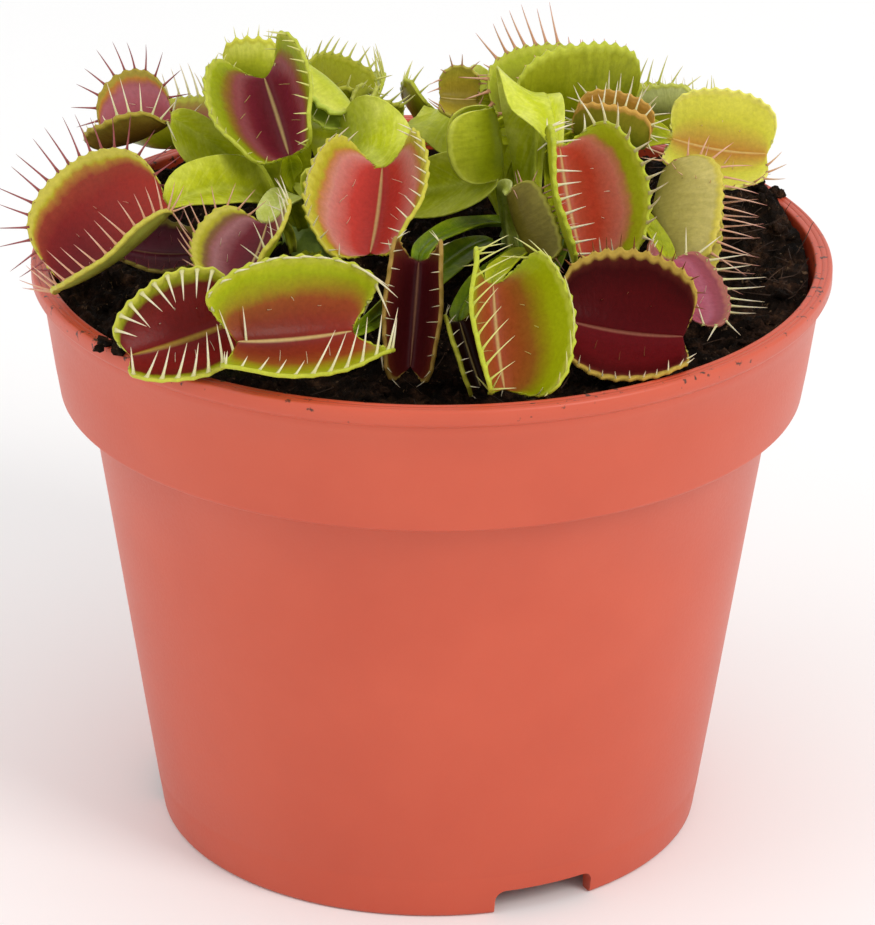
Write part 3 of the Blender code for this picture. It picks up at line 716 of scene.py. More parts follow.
def add_teeth(build, trap, normal, style, rng):
    """Teeth on the points of the scalloped margin, leaning over the opening."""
    extra = style.extra
    u = TOOTH_PLACES
    for sign, column, lean, side in (
        (-1, 0, style.lean_left, "_left"),
        (1, trap.shape[1] - 1, style.lean_right, "_right"),
    ):
        line = trap[:, column]
        tangent = unit(np.gradient(line, axis=0))
        inward = normal[:, column]
        outward = unit(np.cross(tangent, inward))
        outward = outward * np.sign((outward * (line - trap[:, column - sign])).sum(1))[:, None]
        first, final = extra.get("span" + side, (0.0, 1.0))
        for k in range(style.teeth):
            i = k * TOOTH_STATIONS + TOOTH_STATIONS // 2
            place = (k + 0.5) / style.teeth
            longer = 0.55 + 0.45 * sin(pi * place) ** 0.7
            length = style.tooth_length * longer * rng.uniform(0.86, 1.12)
            length *= extra.get("length" + side, 1.0)
            if not first <= place <= final:
                length *= extra.get("stub", 0.25)
            if rng.random() < BROKEN_SHARE:
                length *= rng.uniform(0.25, 0.6)
            angle = radians(lean + rng.normal(0, 5))
            sweep = rng.normal(0, 0.06) + extra.get("sweep" + side, 0.0)
            upright = outward[i] * cos(angle) + inward[i] * sin(angle)
            direction = unit(upright + tangent[i] * sweep)
            curl = inward[i] * extra.get("curl", 0.12) * rng.uniform(0.6, 1.3) + TOOTH_DROOP
            path = line[i] - outward[i] * TOOTH_ROOT + direction * (u * length)[:, None]
            path = path + curl * (length * u * u)[:, None]
            thin = extra.get("tooth_width", 0.16) * min(1.0, 0.55 + 0.2 * length)
            radius = thin * ((1 - u) ** 0.7 * 0.9 + 0.08) * (1 + 0.4 * np.exp(-u / 0.06))
            wide = 1 + 0.9 * np.exp(-u / 0.08)
            values = {"tooth": u * 0.95 + 0.04, "across": 1.0, "along": place, "inner": 0.5}
            tube(build, path, radius, 6, wide, tangent[i], lobe=float(sign > 0), **values)


def add_triggers(build, trap, normal, across, along, rng):
    """Three trigger hairs inside each lobe."""
    u = np.linspace(0, 1, 5)
    for sign in (-1, 1):
        for place, out in TRIGGER_PLACES:
            i = int(place * (len(trap) - 1))
            j = int(np.argmin(np.abs(across - sign * out)))
            bend = rng.normal(0, 0.12, 3)
            path = trap[i, j] + normal[i, j] * (u * TRIGGER_LENGTH)[:, None] + bend * (u * u)[:, None]
            radius = TRIGGER_RADIUS * (1 - u * 0.75)
            tube(build, path, radius, 5, 1.0, along, tooth=0.5, across=0.5, along=place, inner=1.0)


def make_leaf(number, name, leaf, style):
    rng = np.random.default_rng(100 + number)
    build = Build()
    right_side = np.array(PLAIN_ACROSS if leaf.length < SMALL_LEAF else FINE_ACROSS)
    across = np.concatenate([-right_side[:0:-1], right_side])
    trap = trap_grid(leaf, style, across, rng)
    along = np.linspace(0.0, STALK_SHARE, STALK_STATIONS)
    stalk = stalk_points(leaf, along, across, style.extra, rng)
    normal = add_blade(build, np.concatenate([stalk, trap]), across)
    add_teeth(build, trap, normal, style, rng)
    if min(leaf.gape_left, leaf.gape_right) > TRIGGER_GAPE and leaf.length > TRIGGER_LEAF:
        add_triggers(build, trap, normal, across, trap_axes(leaf)[0], rng)
    item = build.object(f"{name}_grown")
    dress(item, leaf_material(f"{name}_tissue", style), name)


FRESH = stops("0.25 76820a, 0.5 a2aa0c, 0.75 bcc02a")
BLADE = stops("0.25 98a010, 0.5 bcc222, 0.75 d4d85a")
# Painted light: a brighter copy of the stalk green, given to stalks that lie in shadow so that they look
# lit.
PAINTED_LIGHT_GREEN = stops("0.25 a6b214, 0.5 c6ce26, 0.75 dce06a")
DEEP = stops("0.25 3e5604, 0.5 607a06, 0.78 8e9e1a")
PALE = stops("0.25 a0aa30, 0.5 c0c858, 0.8 dade94")
OCHRE = stops("0.25 7c6c1a, 0.5 9a9430, 0.8 b8bc50")
TAN = stops("0.2 948a3c, 0.5 b2a456, 0.8 cabc70")
LIME = stops("0.2 a4b01c, 0.5 c2c836, 0.8 dee068")
CREAM = stops("0 aab04c, 0.12 d2cc90, 0.6 e8dfc0, 1 e0c8a4")
PINK = stops("0 a8763e, 0.15 cc9674, 0.7 dcae98, 1 c07468")
DUSKY = stops("0 7e4030, 0.3 9c5458, 1 80404a")
GREENISH = stops("0 a0a82c, 0.25 c4c660, 1 e0d89c")
RUSTY = stops("0 7e5e26, 0.4 824e32, 1 643624")

LOOKS = {
    "far_left": look(
        "0 64161a, 0.35 6c181a, 0.62 781c1a, 0.8 8c3624, 0.88 a4702c, 0.93 aca024, 1 c2b842", OCHRE,
        "c4ba4c", PINK, BLADE, 21, 4.6, 42, 6,
        blush=("c03820", 0.6), right_teeth=DUSKY, tooth_width=0.14, end=0.06, sweep_left=0.05,
        length_left=0.85, left_wing=0.5,
    ),
    "upper_left": look(
        "0 863640, 0.5 a04a50, 0.82 a45650, 0.92 b87c30, 1 b8a240",
        "0.2 603e16, 0.5 7c5c1e, 0.8 968230", "a89638", CREAM, PAINTED_LIGHT_GREEN, 13, 3.8, 40, 4,
        right_teeth=DUSKY, bloom=("b87c90", 0.35, 0.75), tooth_width=0.13, span_left=(0, 0.45),
        right_wing=0.55,
    ),
    "low_left": look(
        "0 5c1828, 0.6 5a1a2a, 0.85 501a26, 1 7c6c30", OCHRE, "8c7c38", DUSKY, DEEP, 10, 2.2, 25, 10,
        tooth_width=0.1, rib=0.2,
    ),
    "mid_left": look(
        "0 5c1a22, 0.35 742630, 0.66 823c40, 0.8 7e5e30, 0.88 a8a020, 1 c2bc3c", FRESH, "c6be48", CREAM,
        PALE, 15, 3.4, 30, 20,
        right_teeth=PINK, bloom=("c89c9c", 0.35, 0.62), tooth_width=0.12, sweep_left=-0.5,
        sweep_right=-0.4,
    ),
    "front_left": look(
        "0 6e1210, 0.5 741612, 0.78 681a10, 0.87 8c900c, 1 b6ba30", FRESH, "c0c044", CREAM, FRESH, 13,
        4.8, 72, 108,
        tooth_width=0.18, sweep_left=-0.35, sweep_right=0.1, rib_width=0.02, rib_tone="a88a34",
    ),
    "front": look(
        "0 70201a, 0.25 80301a, 0.48 8e4a1c, 0.66 968e12, 0.82 9ca60c, 1 b8be24", FRESH, "b8bc3a",
        CREAM, DEEP, 16, 4.8, 66, 60,
        blush=("a82c20", 0.4), tooth_width=0.17, span_right=(0, 0.34), stub=0.4, sweep_left=-0.45,
        sweep_right=-0.9, skew=0.9, fullness=1.6, span_left=(0, 0.55),
    ),
    "centre": look(
        "0 a82c24, 0.35 be3a30, 0.64 bc4a3e, 0.8 b87834, 0.87 b0a422, 1 c6bc38", FRESH, "c8c046", CREAM,
        PAINTED_LIGHT_GREEN, 17, 2, 62, 60,
        bloom=("dcaca0", 0.42, 0.68), scallop=0.3, tooth_width=0.14, ripple=0.2, shade_left=0.4,
        right_wing=1.5, end=0.2,
    ),
    "narrow": look(
        "0 50141a, 0.6 5e1c1a, 0.88 74301c, 1 a48a3e", "0.2 6a3420, 0.5 7c4826, 0.8 8a6a2e", "a0803e",
        CREAM, DEEP, 14, 1.9, 30, 30,
        tooth_width=0.09, rib_tone="a8785a",
    ),
    "front_right": look(
        "0 a04424, 0.22 a05024, 0.42 9a6022, 0.58 9a8c14, 0.74 a0a80a, 0.9 a0ac0a, 1 bac62c", FRESH,
        "b8c03a", GREENISH, FRESH, 17, 4.3, 45, 62,
        scallop=0.24, tooth_width=0.13, sweep_right=-0.8, sweep_left=-0.9, length_left=0.75,
    ),
    "behind_front": look(
        "0 2c120c, 0.6 3c1a10, 0.9 5a3c16, 1 a49c2a", "0.2 32300e, 0.5 525016, 0.8 7c7e26", "aeac36",
        CREAM, DEEP, 11, 1.8, 25, 25,
        tooth_width=0.1,
    ),
    "right": look(
        "0 b45234, 0.3 b8442c, 0.62 ba5032, 0.73 ae7434, 0.81 989e12, 1 a2ae16", FRESH, "b4bc34", CREAM,
        PAINTED_LIGHT_GREEN, 17, 4.6, 22, 62,
        length_right=0.58, bloom=("dca494", 0.3, 0.65), scallop=0.26, tooth_width=0.17, ripple=0.3,
        right_wing=2.4, left_wing=0.7, skew=1.25, fullness=1, end=0.42,
    ),
    "khaki": look(
        "0 5a1a28, 0.7 6a2630, 0.92 90783a, 1 c8b840", TAN, "ccbc4e", PINK, OCHRE, 17, 4.8, 14, 8,
        freckles=0.5, tooth_width=0.14,
    ),
    "maroon": look(
        "0 600e14, 0.5 5c0c10, 0.8 48080a, 0.9 5a2018, 0.97 987430, 1 b4963e",
        "0.2 42141c, 0.5 501a20, 0.8 6a2e22", "b69844", RUSTY, DEEP, 17, 1.8, 18, 45,
        right_teeth=CREAM, length_right=0.9, tooth_width=0.13, scallop=0.34, rib=0.5, rib_tone="b07a60",
        specular=0.05, shade_left=0.9,
    ),
    "low_right": look(
        "0 a04454, 0.5 a0485a, 0.88 8c444c, 1 b0665a", "0.2 7c3c3c, 0.5 8c5a42, 0.8 a07a4c", "a8685a",
        CREAM, FRESH, 13, 4.6, 8, 30,
        bloom=("b87888", 0.3, 0.6), curl=0.1, tooth_width=0.14, length_right=0.3, sweep_left=0.55,
    ),
    "far_right": look(
        "0 b87c30, 0.3 c0a640, 0.55 ccc844, 1 dcd85c", LIME, "e0da6c", PINK, FRESH, 15, 3.8, 30, 22,
        soft=0.5, tooth_width=0.13, length_left=0.08,
    ),
    "back_right": look(
        "0 7c3e16, 0.35 8a741e, 0.6 8c900c, 1 aab424", "0.2 5c6806, 0.5 868c0a, 0.8 a8ac26", "bac03e",
        PINK, FRESH, 19, 5, 2, 12,
        tooth_width=0.17, scallop=0.3, span_left=(0, 0.62), length_right=0.12, sweep_left=-0.25,
    ),
    "olive": look(
        "0 6c4a1e, 0.7 8a7226, 1 bc8634", "0.2 6e7418, 0.5 868420, 0.78 968a2a, 0.93 b0822c", "c89a4a",
        CREAM, FRESH, 13, 2.6, 12, 12,
        tooth_width=0.12,
    ),
    "grey": look(
        "0 7e6e34, 1 b2b85a", "0.2 969a52, 0.5 b2b66a, 0.8 c8cc88", "c0c45a", CREAM, FRESH, 9, 1.4, 15,
        15,
        tooth_width=0.08,
    ),
    "top_left": look(
        "0 6c1e28, 0.3 7a2432, 0.55 8a3c3a, 0.69 8a6c20, 0.78 8c960c, 1 a4b01c", FRESH, "bac042",
        GREENISH, FRESH, 16, 2, 40, 50,
        length_left=0.6, bloom=("a86c74", 0.3, 0.5),
    ),
    "behind_top": look(
        "0 a05c2a, 0.5 b87c34, 0.85 b0a024, 1 c8c436", LIME, "ccca48", GREENISH, FRESH, 10, 1.6, 20, 12,
        scallop=0.34, tooth_width=0.1,
    ),
    "back_left": look(
        "0 6c5c1a, 0.5 888812, 1 a0a424", FRESH, "b4b43c", GREENISH, FRESH, 13, 2.4, 18, 8,
        tooth_width=0.18,
    ),
    "closed_left": look(
        "0 98a834, 1 a8bc42", LIME, "c0ce54", CREAM, FRESH, 9, 1.4, 40, 40,
        tooth_width=0.09,
    ),
    "yellow": look(
        "0 8e7c28, 0.5 a8942e, 1 b4ac3c", "0.2 6a7420, 0.5 8c8e2c, 0.8 a8a844", "b4aa44", PINK, FRESH,
        9, 2.6, 15, 15,
        tooth_width=0.12,
    ),
    "small_khaki": look(
        "0 7c4e2a, 1 a08c40", "0.2 5a5014, 0.5 7c6e28, 0.8 988c40", "b4ac48", PINK, PALE, 12, 2.6, 12,
        12,
        tooth_width=0.12,
    ),
    "young": look(
        "0 86900c, 1 a2ac22", "0.2 808c08, 0.5 a4ac10, 0.8 c2c634", "ccd050", GREENISH, PAINTED_LIGHT_GREEN, 9, 0.3,
        60, 60,
        tooth_width=0.08, roughness=0.22, soft=0.3, scallop=0.03,
    ),
    "curled": look(
        "0 768010, 1 9aa42a", FRESH, "acb042", GREENISH, FRESH, 7, 0.8, 40, 40,
        tooth_width=0.07,
    ),
    "tiny": look(
        "0 848a1c, 1 a8aa38", FRESH, "b6b850", CREAM, FRESH, 7, 0.9, 20, 20,
        tooth_width=0.06,
    ),
    "rear_left": look(
        "0 7c2020, 0.6 8a2e26, 0.82 987434, 1 aeb032", FRESH, "babc42", CREAM, FRESH, 14, 3.8, 35, 35,
    ),
    "rear_mid_left": look(
        "0 8a4e24, 0.5 868616, 1 a0a826", FRESH, "b4ba3c", GREENISH, FRESH, 13, 3.6, 30, 30,
    ),
    "rear_mid_right": look(
        "0 8c5a24, 0.5 888c14, 1 aab230", FRESH, "babe40", GREENISH, PAINTED_LIGHT_GREEN, 12, 2.6, 35, 35,
    ),
    "rear_right": look(
        "0 865626, 0.5 888a18, 1 a2a828", FRESH, "b6ba3e", GREENISH, FRESH, 13, 3.6, 30, 30,
    ),
}


def make_leaves():
    for number, (name, leaf) in enumerate(LEAVES.items()):
        make_leaf(number, f"leaf_{name}", leaf, LOOKS[name])


# ---------------------------------------------------------------- pot

SMALL_ROUNDING = 0.3 * MM
BEAD_HEIGHT = 5.0 * MM
BEAD_DEPTH = 0.07 * MM
FLOOR_ROUNDING = 1.2 * MM
NOTCH_ROUNDING = 1.2 * MM
DRAIN_SEGMENTS = 48
SHARP_ANGLE = radians(38)
# Grooves round the lip's flat top: how far across it, and how deep in millimetres.
LIP_GROOVES = ((0.34, 0.0), (0.40, 0.09), (0.46, 0.0), (0.64, 0.0), (0.70, 0.07), (0.76, 0.0))


def body_radius(height):
    """The outside radius of the body, below the step, at a height."""
    return FOOT_RADIUS + (BODY_TOP_RADIUS - FOOT_RADIUS) * height / STEP_LEVEL


def inner_radius(height):
    """The pot's inside radius at a height, with the step where the collar begins."""
    if height < STEP_LEVEL:
        return body_radius(height) - WALL
    share = (height - STEP_LEVEL) / COLLAR_HEIGHT
    return COLLAR_FOOT_RADIUS + (COLLAR_TOP_RADIUS - COLLAR_FOOT_RADIUS) * share - WALL


def arc(radius, height, size, start, stop, count, rim, inside):
    """A rounded edge of the profile, angles in degrees from outwards to upwards."""
    return [
        (radius + size * cos(a), height + size * sin(a), rim, inside)
        for a in np.radians(np.linspace(start, stop, count))
    ]


def pot_profile():
    """The turned section, (radius, height, rim, inside), running down the outer side."""
    lip = RIM_RADIUS - LIP_WIDTH
    under = POT_HEIGHT - LIP_DEPTH
    foot = FOOT_RADIUS - FOOT_WIDTH
    points = [
        (0.0, FLOOR_TOP, 0, 1),
        (inner_radius(FLOOR_TOP) - FLOOR_ROUNDING, FLOOR_TOP, 0, 1),
        (inner_radius(FLOOR_TOP) - SMALL_ROUNDING, FLOOR_TOP + SMALL_ROUNDING, 0, 1),
        (inner_radius(FLOOR_TOP + FLOOR_ROUNDING), FLOOR_TOP + FLOOR_ROUNDING, 0, 1),
        (inner_radius(STEP_LEVEL - WALL), STEP_LEVEL - WALL, 0, 1),
        (inner_radius(STEP_LEVEL) - 0.2 * MM, STEP_LEVEL + WALL * 0.4, 0, 1),
        (inner_radius(STEP_LEVEL + WALL), STEP_LEVEL + WALL, 0, 1),
        (lip - EDGE / 2, POT_HEIGHT - LIP_DEPTH * 1.6, 0.4, 1),
        (lip - EDGE / 4, POT_HEIGHT - LIP_DEPTH * 0.8, 1, 1),
        (lip, POT_HEIGHT - EDGE, 1, 0.8),
    ]
    # Lip: rounded edges and two shallow grooves round its flat top.
    points += arc(lip + LIP_ROUNDING, POT_HEIGHT - LIP_ROUNDING, LIP_ROUNDING, 165, 95, 4, 1, 0.6)
    points += [(lip + LIP_WIDTH * share, POT_HEIGHT - deep * MM, 1, 0.3) for share, deep in LIP_GROOVES]
    points += arc(RIM_RADIUS - EDGE, POT_HEIGHT - EDGE, EDGE, 85, 0, 5, 1, 0)
    points += [
        (RIM_RADIUS, under, 0.6, 0),
        (RIM_RADIUS - 0.15 * MM, under - 0.3 * MM, 0.5, 0),
        (COLLAR_TOP_RADIUS + 0.1 * MM, under - 0.75 * MM, 0.4, 0),
        (COLLAR_TOP_RADIUS - 0.05 * MM, under - 1.6 * MM, 0.2, 0),
    ]
    # Collar, step, body with its low bead, and foot.
    for share in (0.25, 0.5, 0.75):
        radius = COLLAR_TOP_RADIUS + (COLLAR_FOOT_RADIUS - COLLAR_TOP_RADIUS) * share
        points.append((radius, POT_HEIGHT - COLLAR_HEIGHT * share, 0, 0))
    points += arc(
        COLLAR_FOOT_RADIUS - STEP_ROUNDING, STEP_LEVEL + STEP_ROUNDING, STEP_ROUNDING, 0, -90, 6, 0, 0
    )
    points += [(BODY_TOP_RADIUS + SMALL_ROUNDING, STEP_LEVEL, 0, 0)]
    points += [(BODY_TOP_RADIUS, STEP_LEVEL - SMALL_ROUNDING, 0, 0)]
    points += [(body_radius(STEP_LEVEL * share), STEP_LEVEL * share, 0, 0) for share in (0.75, 0.5, 0.25)]
    bead = body_radius(BEAD_HEIGHT)
    points += [
        (bead + 0.02 * MM, BEAD_HEIGHT + 0.35 * MM, 0, 0),
        (bead - BEAD_DEPTH, BEAD_HEIGHT, 0, 0),
        (bead - BEAD_DEPTH, BEAD_HEIGHT - 0.3 * MM, 0, 0),
    ]
    points += arc(FOOT_RADIUS - FOOT_ROUNDING, FOOT_ROUNDING, FOOT_ROUNDING, 0, -90, 5, 0, 0)
    return points + [
        (foot, 0.0, 0, 0),
        (foot, FLOOR_UNDERSIDE - EDGE, 0, 0),
        (foot - EDGE, FLOOR_UNDERSIDE, 0, 0),
        (0.0, FLOOR_UNDERSIDE, 0, 0),
    ]


def ring_points(radius, height, steps):
    """Points of a level circle round the pot's axis."""
    angles = [2 * pi * j / steps for j in range(steps)]
    return [(radius * cos(a), radius * sin(a), height) for a in angles]


def turned_faces(rings, steps):
    """Faces of a turned body: a point on its axis, the rings going down, and a point on its axis."""
    faces = []
    end = 1 + (rings - 1) * steps
    for j in range(steps):
        k = (j + 1) % steps
        faces.append((0, 1 + j, 1 + k))
        for i in range(rings - 1):
            a, b = 1 + i * steps + j, 1 + i * steps + k
            faces.append((a, a + steps, b + steps, b))
        faces.append((end + k, end + j, end + steps))
    return faces


def cutter(name, bm, radius, bearing, height, turn=0.0):
    """A mesh that cuts the pot, at this bearing round its axis and turned this far."""
    mesh = bpy.data.meshes.new(name)
    bm.to_mesh(mesh)
    bm.free()
    item = linked(name, mesh)
    item.location = (radius * cos(bearing), radius * sin(bearing), height)
    item.rotation_euler = (0.0, 0.0, turn)
    return item


def notches():
    """Cutters for the notches of the foot."""
    items = []
    for number in range(NOTCH_COUNT):
        bm = bmesh.new()
        bmesh.ops.create_cube(bm, size=1.0)
        bmesh.ops.scale(bm, vec=(FOOT_WIDTH * 3, NOTCH_WIDTH, NOTCH_HEIGHT * 2), verts=bm.verts)
        long_edges = [e for e in bm.edges if abs((e.verts[0].co - e.verts[1].co).x) > FOOT_WIDTH]
        bmesh.ops.bevel(
            bm, geom=long_edges, offset=NOTCH_ROUNDING, segments=6, affect="EDGES", profile=0.5
        )
        bearing = NOTCH_BEARING + number * 2 * pi / NOTCH_COUNT
        radius = FOOT_RADIUS - FOOT_WIDTH / 2
        items.append(cutter(f"notch_{number}", bm, radius, bearing, 0.0, bearing))
    return items


def drains():
    """Cutters for the drain holes: one in the middle and the others round it."""
    places = [(0.0, 0.0)]
    places += [(DRAIN_CIRCLE, 2 * pi * number / DRAIN_COUNT) for number in range(DRAIN_COUNT)]
    items = []
    for number, (radius, bearing) in enumerate(places):
        bm = bmesh.new()
        bmesh.ops.create_cone(
            bm,
            cap_ends=True,
            segments=DRAIN_SEGMENTS,
            radius1=DRAIN_RADIUS,
            radius2=DRAIN_RADIUS,
            depth=WALL * 4,
        )
        items.append(cutter(f"drain_{number}", bm, radius, bearing, FLOOR_UNDERSIDE + WALL / 2))
    return items


def make_pot():
    profile = pot_profile()
    points, rim, inside = [], [], []
    for radius, height, at_rim, at_inside in profile:
        ring = ring_points(radius, height, POT_STEPS) if radius else [(0.0, 0.0, height)]
        points += ring
        rim += [at_rim] * len(ring)
        inside += [at_inside] * len(ring)
    faces = turned_faces(len(profile) - 2, POT_STEPS)
    pot = mesh_object("pot_moulded", points, faces, {"rim": rim, "inside": inside}, smooth=False)
    cutters = notches() + drains()
    for item in cutters:
        boolean = pot.modifiers.new("cut", "BOOLEAN")
        boolean.operation = "DIFFERENCE"
        boolean.solver = "EXACT"
        boolean.object = item
    bpy.context.view_layer.update()
    graph = bpy.context.evaluated_depsgraph_get()
    mesh = bpy.data.meshes.new_from_object(pot.evaluated_get(graph))
    pot.modifiers.clear()
    pot.data = mesh
    for item in cutters:
        bpy.data.objects.remove(item, do_unlink=True)
    mesh.shade_smooth()
    mesh.set_sharp_from_angle(angle=SHARP_ANGLE)
    mesh.materials.clear()
    dress(pot, pot_material(), "pot")


# ---------------------------------------------------------------- soil

SOIL_RINGS = 160
SOIL_STEPS = 480
SOIL_EDGE_FADE = 1.5 * MM
CRUMB_COUNT = 420
# Crumbs lying on the lip at the left, and along the right side above the peat, in millimetres:
# x, y, size and how many.
CRUMB_SPOTS = ((-34.5, -28.0, 0.95, 8), (39.0, 18.5, 1.1, 12), (36.0, 25.0, 0.8, 8), (24.0, -31.0, 0.9, 10))
LIP_REACH = 41.9
FIBRE_COUNT = 190
SPREAD_FIBRES = 120
# A fibre that crosses the lip is raised over it: the lip's inner side and clear height, in millimetres.
LIP_START = 41.0
LIP_CROSSED = 42.0
LIP_CLEAR = 68.4
CROWN_SHARE = 0.97
CROWN_CREASE = 0.07
CROWN_RINGS = 28
CROWN_STEPS = 72


def hump(x, y, middle, spread):
    """1 at the middle, falling off smoothly over this spread, all in millimetres but x and y."""
    across = (x - middle[0] * MM) / (spread[0] * MM)
    return exp(-(across**2) - ((y - middle[1] * MM) / (spread[1] * MM)) ** 2)


def soil_base(x, y):
    """The soil's surface in the CAD, above its level, in metres."""
    lump = noise.noise(Vector((x, y, 0.0)) / SOIL_LUMP_SIZE) * SOIL_LUMP
    away = hypot(x - MOUND_CENTRE[0], y - MOUND_CENTRE[1])
    return lump + MOUND_HEIGHT * exp(-((away / MOUND_SPREAD) ** 2))


def soil_relief(x, y):
    """Clods and grains on top of the CAD surface."""
    p = Vector((x, y, 0.0))
    clod = noise.noise(p / (4.6 * MM)) * 1.1 + noise.noise(p / (2.1 * MM) + Vector((7, 3, 1))) * 0.8
    crumb = abs(noise.noise(p / (1.2 * MM) + Vector((1, 9, 4)))) * 1.3
    grain = abs(noise.noise(p / (0.55 * MM) + Vector((4, 2, 8)))) * 0.7
    return (clod + crumb + grain) * MM


def soil_banks(x, y):
    """Peat heaped against the pot at the right and the back left, and by the front right traps."""
    bearing = degrees(atan2(y, x))
    edge = exp(-(((hypot(x, y) - 43 * MM) / (9 * MM)) ** 2))
    right = exp(-(((bearing - 22) / 46) ** 2))
    back_left = exp(-(((bearing - 140) / 40) ** 2))
    front = hump(x, y, (21, -36), (14, 5.5))
    return (3.6 * edge * right + 3.0 * edge * back_left + 2.6 * front) * MM


def moss_at(x, y):
    """How mossy the surface is here: two patches, one at the left and one by the front right trap."""
    left = hump(x, y, (-22, -18), (8, 7))
    right = hump(x, y, (24, -32), (4, 3))
    if left + right <= 0.15:
        return 0.0
    patch = noise.noise(Vector((x, y, 0.01)) / (3 * MM)) * 0.5
    return max(0.0, min(1.0, (left + right * 0.9) * 1.3 + patch - 0.15))


def surface_height(x, y, relief=1.0):
    return SOIL_LEVEL + soil_base(x, y) + soil_banks(x, y) + soil_relief(x, y) * relief


def make_soil():
    edge = inner_radius(SOIL_LEVEL) - 0.1 * MM
    points, moss = [(0.0, 0.0, surface_height(0.0, 0.0))], [0.0]
    for i in range(1, SOIL_RINGS + 1):
        radius = edge * i / SOIL_RINGS
        relief = 0.5 + 0.5 * min(1.0, (edge - radius) / SOIL_EDGE_FADE)
        for x, y, _ in ring_points(radius, 0.0, SOIL_STEPS):
            points.append((x, y, surface_height(x, y, relief)))
            moss.append(moss_at(x, y))
    above = STEP_LEVEL + WALL * 1.5
    points += ring_points(inner_radius(above) - GAP, above, SOIL_STEPS)
    points += ring_points(inner_radius(STEP_LEVEL - WALL) - 2 * GAP, STEP_LEVEL - WALL, SOIL_STEPS)
    points += ring_points(inner_radius(FLOOR_TOP) - 2 * GAP, FLOOR_TOP + GAP, SOIL_STEPS)
    points.append((0.0, 0.0, FLOOR_TOP + GAP))
    moss += [0.0] * (len(points) - len(moss))
    soil = mesh_object("peat", points, turned_faces(SOIL_RINGS + 3, SOIL_STEPS), {"moss": moss})
    dress(soil, soil_material(), "soil")


def add_crumb(points, faces, centre, size, rng, squash=0.7):
    """Adds one irregular crumb to the lists."""
    bm = bmesh.new()
    bmesh.ops.create_icosphere(bm, subdivisions=2, radius=1.0)
    offset = Vector(rng.uniform(-50, 50, 3))
    turn, lean = rng.uniform(0, 6.28), rng.uniform(-0.5, 0.5)
    spin = Matrix.Rotation(turn, 3, "Z") @ Matrix.Rotation(lean, 3, "X")
    stretch = (*rng.uniform(0.7, 1.3, 2), squash)
    first = len(points)
    for v in bm.verts:
        grown = 1 + 0.8 * noise.noise(v.co * 1.2 + offset) + 0.5 * noise.noise(v.co * 3.1 + offset)
        p = spin @ (Vector([v.co[i] * stretch[i] for i in range(3)]) * grown)
        points.append(tuple(centre[i] + p[i] * size for i in range(3)))
    faces += [tuple(first + v.index for v in f.verts) for f in bm.faces]
    bm.free()


def make_crumbs():
    rng = np.random.default_rng(7)
    points, faces = [], []
    for _ in range(CRUMB_COUNT):
        radius = (inner_radius(SOIL_LEVEL) - 1.0 * MM) * sqrt(rng.uniform(0.0, 1.0))
        bearing = rng.uniform(0, 2 * pi)
        x, y = radius * cos(bearing), radius * sin(bearing)
        size = rng.uniform(0.25, 0.85) ** 1.6 * 1.3 * MM
        add_crumb(points, faces, (x, y, surface_height(x, y) + size * 0.15), size, rng)
    for x, y, largest, count in CRUMB_SPOTS:
        for _ in range(count):
            dx, dy = rng.normal(0, 0.9, 2)
            at = ((x + dx) * MM, (y + dy) * MM)
            base = POT_HEIGHT if hypot(x + dx, y + dy) > LIP_REACH else surface_height(*at)
            size = largest * rng.uniform(0.35, 1.0) * MM
            add_crumb(points, faces, (*at, base + size * 0.4), size, rng, 0.8)
    dress(mesh_object("peat_crumbs", points, faces), soil_material())


def make_fibres():
    """Thin roots and straws of the peat, more of them at the right rim."""
    rng = np.random.default_rng(11)
    build = Build()
    u = np.linspace(0, 1, 7)
    for number in range(FIBRE_COUNT):
        spread = number < SPREAD_FIBRES
        if spread:
            bearing = rng.uniform(0, 2 * pi)
            radius = 40.5 * sqrt(rng.uniform(0.05, 1.0))
        else:
            bearing = radians(rng.uniform(-15, 45))
            radius = rng.uniform(36.5, 41.0)
        x, y = radius * cos(bearing), radius * sin(bearing)
        root = np.array([x, y, surface_height(x * MM, y * MM) / MM - 0.1])
        heading = rng.uniform(0, 2 * pi)
        length = rng.uniform(1.2, 4.5) if spread else rng.uniform(1.5, 3.6)
        direction = np.array([cos(heading), sin(heading), rng.uniform(-0.1, 0.5)])
        bend = rng.normal(0, 0.6, 3)
        path = root + direction * (u * length)[:, None] + bend * (u * u)[:, None]
        reach = np.hypot(path[:, 0], path[:, 1])
        if (reach > LIP_CROSSED).any() and path[:, 2].min() < LIP_CLEAR:
            path[:, 2] += np.clip(reach - LIP_START, 0, 2) * 1.5
        tube(build, path, rng.uniform(0.035, 0.09) * (1 - 0.6 * u), 5)
    straw = plain_material("peat_straw", stops("0.3 1d120b, 0.6 49301d, 0.8 7d5c3d"), 300.0)
    dress(build.object("peat_fibres"), straw)


def make_crowns():
    """The bundled leaf bases of each rosette: a low dome, creased where the bases meet."""
    for side, (x, y) in CROWNS.items():
        points = []
        for i in range(CROWN_RINGS + 1):
            down = pi * i / CROWN_RINGS
            height = CROWN_LEVEL + CROWN_RISE * CROWN_SHARE * cos(down)
            for j in range(CROWN_STEPS if 0 < i < CROWN_RINGS else 1):
                a = 2 * pi * j / CROWN_STEPS
                crease = 1 - CROWN_CREASE * abs(sin(a * 5.5 + down * 2)) * sin(down)
                out = CROWN_RADIUS * CROWN_SHARE * crease * sin(down)
                points.append((x * MM + out * cos(a), y * MM + out * sin(a), height))
        faces = turned_faces(CROWN_RINGS - 1, CROWN_STEPS)
        tissue = plain_material(f"crown_{side}_tissue", stops("0.3 5f7a1c, 0.7 9fb648"), 500.0, 0.5)
        dress(mesh_object(f"crown_{side}_bases", points, faces), tissue, f"crown_{side}")


# ---------------------------------------------------------------- stage

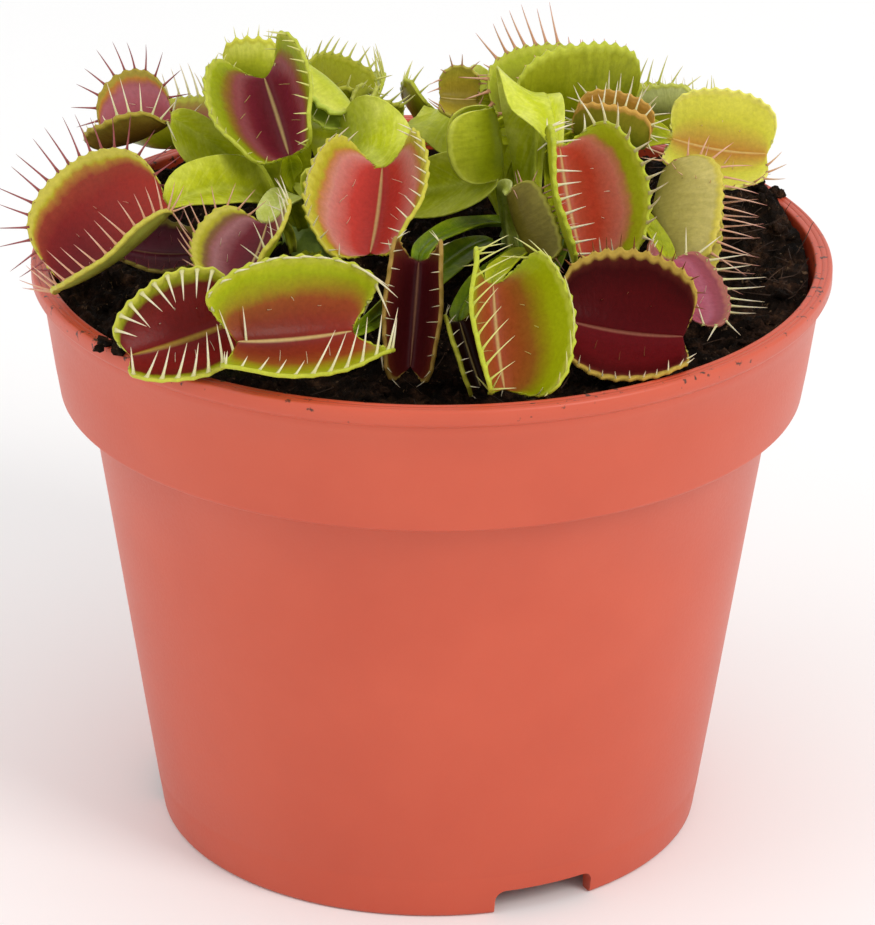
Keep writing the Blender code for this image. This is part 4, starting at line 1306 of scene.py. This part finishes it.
FLOOR_HALF = 3.0
CAMERA_PLACE = (0.0, -0.5293, 0.2785)
CAMERA_PITCH = radians(24.07)
CAMERA_YAW = radians(0.086)
CAMERA_ROLL = radians(0.407)
SENSOR_WIDTH = 36.0
LENS = 196.9297
CAMERA_NEAREST = 0.01


def area_light(name, place, aim, size, power, colour=(1.0, 1.0, 1.0)):
    light = bpy.data.lights.new(name, "AREA")
    light.shape = "SQUARE"
    light.size = size
    light.energy = power
    light.color = colour
    item = linked(name, light)
    item.location = place
    item.rotation_euler = (Vector(aim) - Vector(place)).to_track_quat("-Z", "Y").to_euler()


def make_stage():
    corners = ((-1, -1), (1, -1), (1, 1), (-1, 1))
    points = [(x * FLOOR_HALF, y * FLOOR_HALF, 0.0) for x, y in corners]
    floor = mesh_object("floor", points, [(0, 1, 2, 3)], smooth=False)
    n = Nodes("pale_floor")
    n.set(colour=(0.93, 0.93, 0.93, 1.0), roughness=0.9)
    n.constants(0.1)
    floor.data.materials.append(n.material)
    world = bpy.data.worlds.new("studio")
    world.use_nodes = True
    background = world.node_tree.nodes["Background"].inputs
    background["Color"].default_value = (1.0, 1.0, 1.0, 1.0)
    background["Strength"].default_value = 0.9
    bpy.context.scene.world = world
    area_light("key", (0.75, -0.66, 0.82), (0.0, 0.0, 0.06), 0.45, 5.6, (1.0, 0.98, 0.95))
    area_light("fill", (-0.8, -0.3, 0.5), (0.0, 0.0, 0.05), 0.6, 1.0)
    bpy.context.scene.view_settings.view_transform = "Standard"


def make_camera():
    data = bpy.data.cameras.new("camera")
    data.sensor_width = SENSOR_WIDTH
    data.lens = LENS
    data.clip_start = CAMERA_NEAREST
    camera = linked("camera", data)
    aim = Matrix.Rotation(-CAMERA_YAW, 4, "Z") @ Matrix.Rotation(pi / 2 - CAMERA_PITCH, 4, "X")
    camera.matrix_world = Matrix.Translation(CAMERA_PLACE) @ aim @ Matrix.Rotation(CAMERA_ROLL, 4, "Z")
    bpy.context.scene.camera = camera


make_pot()
make_soil()
make_crumbs()
make_fibres()
make_crowns()
make_leaves()
make_stage()
make_camera()
